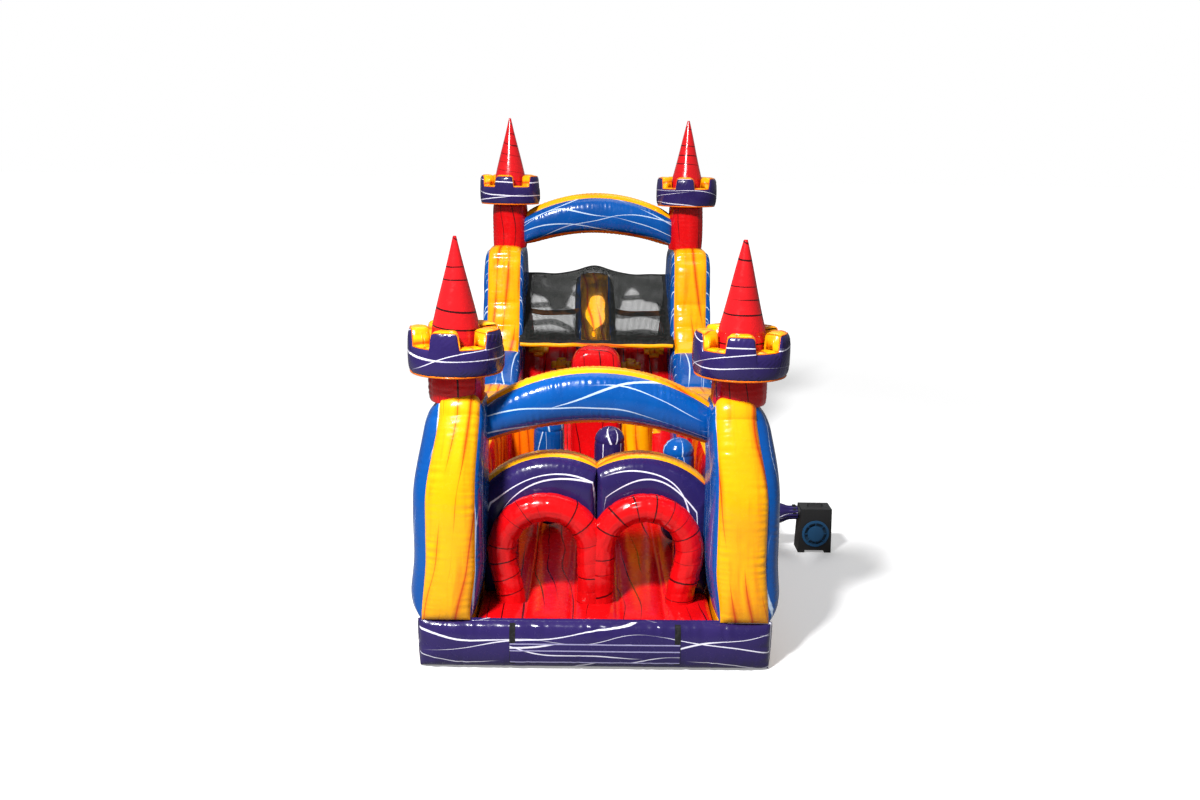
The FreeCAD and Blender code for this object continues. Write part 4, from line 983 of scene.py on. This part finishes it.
def dividers():
    """The wall between the lanes, with a yellow rim and blue sides, and the red nose in front of it."""
    low, high = cad_box("centre_divider")
    y0, y1, z0, z1 = low[1], high[1], low[2], high[2] + 0.065
    low_x, high_x, front_z, crest_y = low[0] + 0.005, high[0] - 0.005, 1.85, y1 - 0.15

    def lean(z):
        return 0.05 * smooth(z, 1.9, z1)

    wall = Wall("divider_chamber", [(y0, z0), (y1, z0)],
                [(y0, front_z), (crest_y - 0.2, z1 - 0.085), (crest_y, z1), (y1, z1)],
                lambda y, z: low_x - lean(z), lambda y, z: high_x - lean(z), step=0.026)
    for side in (0, 1):
        wall.face(side, BLUE, rise=0.11, s_seams=even(3), valley=0.35, pucker=0.009, seed=191 + side)
    wall.rim(("front", "top"), YELLOW, rise=0.06, pucker=0.010, seed=193)
    wall.plain(YELLOW, "back", "bottom")
    wall.build("centre_divider", "yellow_vinyl")

    low, high = cad_box("slide_divider")
    y0, y1, z1 = low[1], high[1], high[2] - 0.04
    bed = [(y0, cad_box("slide_bed")[1][2] - 0.08), (y0 + 2.1, 0.55), (y1, 0.50)]
    wall = Wall("slide_divider_chamber", bed, [(y0, z1), (y1, 1.11)], low[0] + 0.03, high[0] - 0.03,
                step=0.034)
    for side in (0, 1):
        wall.face(side, BLUE, rise=0.06, s_seams=even(4), valley=0.5, pucker=0.008, seed=201 + side)
    wall.rim(("top",), YELLOW, rise=0.06, s_seams=even(5), valley=0.3, pucker=0.009, seed=203)
    wall.plain(YELLOW, "front", "back", "bottom")
    wall.build("slide_divider", "yellow_vinyl")

    low, high = cad_box("divider_nose")
    x0, x1, z0, z1 = low[0] + 0.04, high[0] - 0.04, low[2] - 0.03, high[2] - 0.045
    bend = 0.24
    left = arc((x0 + bend, z1 - bend), bend, 180, 90, 10)
    right = arc((x1 - bend, z1 - bend), bend, 90, 0, 10)
    wall = Wall("nose_chamber", [(x0, z0), (x1, z0)], left + right, low[1] + 0.06, high[1], "front", 0.02)
    wall.face(0, RED, rise=0.07, pucker=0.010, grain="t", seed=211)
    wall.face(1, RED, pucker=0.0)
    wall.rim(("front", "top", "back"), RED, rise=0.045, pucker=0.014, spacing=0.07, seed=213)
    wall.plain(RED, "bottom")
    rim = np.concatenate([wall.edges["front"], wall.edges["top"][1:], wall.edges["back"][::-1][1:]])
    trim = wall.place(rim, 1.0) + np.array([0, -0.02, 0])
    wall.patches.append(bead(trim[::2], 0.022, YELLOW))
    wall.build("divider_nose", "red_vinyl")


NET_PITCH = 0.020
LANE_X = 0.68         # middle of a lane, to either side
DIVIDER_X = -0.05     # middle of the divider under the net


def net_height(x, y, low, high):
    """The net's surface: it slopes up to the back, sags in each lane and rides over the divider."""
    share = (y - low[1]) / (high[1] - low[1])
    plane = low[2] + 0.012 + (high[2] - low[2] - 0.02) * share
    over = 0.130 * np.exp(-((x - DIVIDER_X) / 0.36) ** 2) * smooth(share, 0.35, 1.0)
    across = np.clip((np.abs(x) - 0.24) / 0.99, 0, 1)
    sag = 0.035 * np.sin(pi * across) * np.sin(pi * np.clip(share, 0, 1)) ** 0.5
    ripple = 0.008 * np.sin(x * 9 + y * 5) * np.sin(y * 7 - x * 4)
    return plane + over - sag + ripple


def ribbon(points, across, width, paint):
    """A flat cord along a line: a strip of one width, or of one width per point."""
    points = np.asarray(points, float)
    half = np.asarray(across, float) * np.broadcast_to(width, len(points))[:, None] / 2
    return Patch(np.stack([points - half, points + half], axis=1), paint, **FLAT)


def cord_width(x, y, low, high):
    """Cord widths: wide cords leave the mesh nearly shut, as painted shade for the shaded course behind it;
    they narrow in a window over each lane, but less along slanted streaks, and over the divider.
    """
    share = (y - low[1]) / (high[1] - low[1])
    lane = np.abs(np.abs(x) - LANE_X)
    window_wave = 0.16 * np.sin(x * 7 + share * 5) + 0.07 * np.sin(x * 13 - share * 9)
    window = smooth(0.42 + window_wave * 0.4 - lane, 0.0, 0.06) * smooth(0.66 + window_wave - share, 0.0, 0.10)
    window = window * smooth(share, 0.16, 0.24)
    wide_streak = smooth(np.sin(x * 6 + share * 26 + 2.5 * np.sin(x * 4 + 1)), 0.35, 0.8)
    over = smooth(0.30 - np.abs(x - DIVIDER_X), 0.0, 0.05) * smooth(0.93 - share, 0.0, 0.04)
    # Wide cords almost close the mesh: painted shade for the shaded course seen through it.
    return NET_PITCH * (0.86 - 0.42 * window * (1 - 0.75 * wide_streak) * (1 - over) - 0.36 * over)


def safety_net():
    """Open black mesh made of crossing cords, with a padded yellow hem in front and black webbing edges; the
    cords are drawn thick, as painted shade for the shaded course behind it.
    """
    low, high = cad_box("safety_net")
    x0, x1, y0, y1 = low[0], high[0], low[1], high[1]
    xs, ys = np.linspace(x0, x1, 120), np.linspace(y0, y1, 100)
    along_x, along_y = (0, 0.91, 0.41), (1, 0, 0)

    def on_net(x, y, lift=0.0):
        height = net_height(x, y, low, high) + lift
        return np.stack([0 * height + x, 0 * height + y, height], axis=1)

    cords = [ribbon(on_net(xs, y), along_x, cord_width(xs, y, low, high), MESH)
             for y in np.arange(y0 + NET_PITCH, y1, NET_PITCH)]
    cords += [ribbon(on_net(x, ys), along_y, cord_width(x, ys, low, high), MESH)
              for x in np.arange(x0 + NET_PITCH, x1, NET_PITCH)]
    net = build("net_mesh", cords, ["safety_net"], sharp=False)
    trims = [ribbon(on_net(x, ys, 0.004), along_y, 0.10, BLACK_CLOTH) for x in (x0 + 0.03, x1 - 0.03)]
    trims += [ribbon(on_net(xs, y, 0.005), along_x, wide, BLACK_CLOTH)
              for y, wide in ((y0 + 0.05, 0.16), (y1 - 0.02, 0.05))]
    middle = y0 + 0.5 * (y1 - y0)
    for side in (-1, 1):
        across = np.linspace(side * 0.30, side * (x1 - 0.02), 40)
        trims.append(ribbon(on_net(across, middle, -0.03) - (0, 0, 0.03), (0, 0.25, 0.97), 0.085, TAN))
    edges = build("net_webbing", trims, [], sharp=False)
    points = on_net(xs, y0) - (0, 0.01, 0)
    grid = tube_grid(line(points, 0.015), 0.026, 20)
    hem = Patch(grid, YELLOW, rise=0.008, pucker=0.003, s_seams=even(8), valley=0.5, open_s=True, open_t=True,
                inside=grid.mean(axis=(0, 1)), loops=(("s", 0), ("s", -1)), seed=221)
    build("net_hem", [hem], [], sharp=False)


# ---- Pillars, inflation tube and the hard parts ----

def pillar(node, paint, seed):
    """A sprung column with domed ends, gore seams and a ring seam under the dome."""
    low, high = cad_box(node)
    cx, cy = ((low + high) / 2)[:2]
    radius = (high[0] - low[0]) / 2 - 0.014
    foot, top = low[2] + 0.022, high[2] - 0.012
    under = [(radius * sin(a), foot + radius * (1 - cos(a))) for a in np.linspace(0.06, pi / 2, 14)]
    over = [(radius * sin(a), top - radius * (1 - cos(a))) for a in np.linspace(pi / 2, 0.06, 14)]
    how = dict(open_s=True, inside=(cx, cy, (foot + top) / 2), s_seams=even(6), valley=0.5)
    patches = [
        Patch(ring_grid(line(profile, step), (cx, cy), 64), paint, rise=rise, pucker=pucker, grain="t",
              seed=seed + number, loops=loops, **how)
        for number, (profile, step, rise, pucker, loops) in enumerate((
            (under, 0.022, 0.008, 0.004, (("t", 0),)), ([under[-1], over[0]], 0.022, 0.012, 0.008, ()),
            (over, 0.018, 0.010, 0.007, (("t", -1),))))
    ]
    build(node + "_chamber", patches, [node], body=node)


def inflation_tube():
    """The slack fabric tube that carries the air: full near the wall, gathered at the blower's nozzle."""
    low, high = cad_box("inflation_tube")
    y, z = ((low + high) / 2)[1:]
    full = (high[2] - low[2]) / 2
    xs = np.linspace(low[0] - 0.06, high[0], 96)
    share = (xs - xs[0]) / (xs[-1] - xs[0])
    narrow = smooth(share, 0.72, 0.90)
    radius = full * 0.97 * (1 - narrow) + 0.080 * narrow
    spine = np.stack([xs, 0 * xs + y, z - 0.012 * np.sin(pi * share)], axis=1)
    around, pleats = 64, 11
    turn = np.arange(around + 1) / around * 2 * pi
    wave = np.cos(turn * pleats + 0.6 * np.sin(turn * 3))
    depth = 0.007 * smooth(share, 0.66, 0.88)[:, None] * wave[None, :]
    centre = spine[:, None]
    grid = centre + (tube_grid(spine, radius, around) - centre) * (1 + depth / radius[:, None])[..., None]
    tube = Patch(grid, PURPLE, rise=0.007, s_seams=(0, 0.33, 0.62, 1), pucker=0.006, open_s=True, open_t=True,
                 inside=grid.mean(axis=(0, 1)), loops=(("s", 0), ("s", -1)), seed=231)
    build("air_tube", [tube], ["inflation_tube"], sharp=False)


def repaint(node, paint, bevel=0.0):
    """Gives a CAD node its material, and rounds its edges."""
    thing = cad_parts[node]
    thing.data.materials.clear()
    thing.data.materials.append(paint)
    if bevel:
        rounding = thing.modifiers.new("Rounded", "BEVEL")
        rounding.width = bevel
        rounding.segments = 3
        rounding.limit_method = "ANGLE"
        rounding.angle_limit = radians(40)


HARD = (
    (BLACK_PLASTIC, {"blower_front_shell": 0.005, "blower_back_shell": 0.005, "blower_handle": 0.004,
                     "switch_plate": 0.002, "outlet_nozzle": 0.002}),
    (BLUE_PLASTIC, {"intake_grille": 0.002, "switch_rocker": 0.001}),
    (BLACK_CLOTH, {"tube_strap": 0.001, "anchor_tabs": 0.002, "zip_tape": 0.001}),
    (FAN_PLASTIC, {"impeller": 0.0}), (MOTOR, {"blower_motor": 0.004}), (RUBBER, {"blower_feet": 0.006}),
    (ZINC, {"zip_slider": 0.002}),
)
PILLARS = (
    ("pillar_purple", PURPLE, "purple_vinyl"), ("pillar_blue", BLUE, "blue_vinyl"),
    ("pillar_yellow", YELLOW, "yellow_vinyl"), ("pillar_blue_side", BLUE, "blue_vinyl"),
    ("pillar_orange", ORANGE, "yellow_vinyl"),
)


# ---- Studio: floor, light and camera ----

AMBIENT = 0.26        # strength of the white surroundings as light; they show as plain white
EYE = (-0.065, -16.201, 5.213)
YAW, PITCH, ROLL = radians(0.449), radians(12.892), radians(0.842)


def studio():
    n = Nodes("studio_floor")
    away = n.add("ShaderNodeVectorMath", {0: n.place}, operation="LENGTH").outputs["Value"]
    fade = n.ramp(away, 7.0, 24.0)
    seen = n.add("ShaderNodeLightPath").outputs["Is Camera Ray"]
    glow = n.times(seen, n.maths("MULTIPLY_ADD", fade, 0.60, 0.30))
    n.set(Base_Color=n.mix(seen, (0.30, 0.30, 0.30, 1.0), (0.80, 0.80, 0.80, 1.0)), Roughness=0.8,
          Specular_IOR_Level=0.1, Emission_Color=(1.0, 1.0, 1.0, 1.0), Emission_Strength=glow)
    bpy.ops.mesh.primitive_grid_add(x_subdivisions=4, y_subdivisions=4, size=400)
    ground = bpy.context.object
    ground.name = "studio_floor"
    ground.location.z = -0.004
    ground.data.materials.append(n.material)

    world = bpy.data.worlds.new("studio")
    bpy.context.scene.world = world
    bpy.context.scene.view_settings.view_transform = "Standard"
    world.use_nodes = True
    tree = world.node_tree
    back = tree.nodes["Background"]
    back.inputs["Color"].default_value = (1.0, 1.0, 1.0, 1.0)
    seen = tree.nodes.new("ShaderNodeLightPath")
    level = tree.nodes.new("ShaderNodeMapRange")
    level.inputs["To Min"].default_value = AMBIENT
    level.inputs["To Max"].default_value = 1.0
    tree.links.new(seen.outputs["Is Camera Ray"], level.inputs["Value"])
    tree.links.new(level.outputs["Result"], back.inputs["Strength"])

    def lamp(name, place, aim, size, power):
        light = bpy.data.lights.new(name, "AREA")
        light.shape = "RECTANGLE"
        light.size, light.size_y = size
        light.energy = power
        thing = bpy.data.objects.new(name, light)
        bpy.context.collection.objects.link(thing)
        thing.location = place
        thing.rotation_euler = (Vector(aim) - Vector(place)).to_track_quat("-Z", "Y").to_euler()

    lamp("key", (-5.5, -14.5, 15.5), (0.0, -2.0, 1.5), (2.2, 2.2), 6600)
    lamp("top", (2.0, 4.0, 17.0), (0.0, 0.5, 0.0), (9.0, 12.0), 700)


def camera():
    """The photograph's viewpoint: high in front of the entrance, looking down a little."""
    ahead = Vector((sin(YAW) * cos(PITCH), cos(YAW) * cos(PITCH), -sin(PITCH)))
    right = Vector((cos(YAW), -sin(YAW), 0.0))
    up = right.cross(ahead)
    tilted_right = right * cos(ROLL) + up * sin(ROLL)
    tilted_up = up * cos(ROLL) - right * sin(ROLL)
    data = bpy.data.cameras.new("camera")
    data.sensor_width = 36.0
    data.lens = 32.25
    data.clip_end = 1000.0
    thing = bpy.data.objects.new("camera", data)
    bpy.context.collection.objects.link(thing)
    axes = Matrix((tilted_right, tilted_up, -ahead)).transposed().to_4x4()
    thing.matrix_world = Matrix.Translation(EYE) @ axes
    bpy.context.scene.camera = thing


camera()
studio()
banner(front_panel())
floor()
bases()
for side_name, side_sign in SIDES:
    front_column(side_name, side_sign)
    side_wall(side_name, side_sign)
    rear_wall(side_name, side_sign)
    slide_wall(side_name, side_sign)
    climb(side_name, side_sign)
    for tower_place in ("front", "rear"):
        spire(tower_place, side_name)
        crown(tower_place, side_name)
        repaint("anchor_ring_%s_%s" % (tower_place, side_name), ZINC)
bumper()
tunnel_wall()
tunnel_rings()
arch("entrance_arch", "front_arch", half=1.26, rise=0.42, dip=0.26, bulge=0.155, drop=0.085, crest=0.045,
     seed=111)
arch("back_arch", "rear_arch", half=1.24, rise=0.35, dip=0.23, bulge=0.140, drop=0.070, crest=0.080, seed=116)
holds()
slide()
dividers()
safety_net()
for pillar_seed, (pillar_node, pillar_paint, pillar_slot) in enumerate(PILLARS):
    pillar(pillar_node, pillar_paint, 241 + pillar_seed * 5)
inflation_tube()
for hard_paint, hard_nodes in HARD:
    for hard_node, hard_bevel in hard_nodes.items():
        repaint(hard_node, hard_paint, hard_bevel)
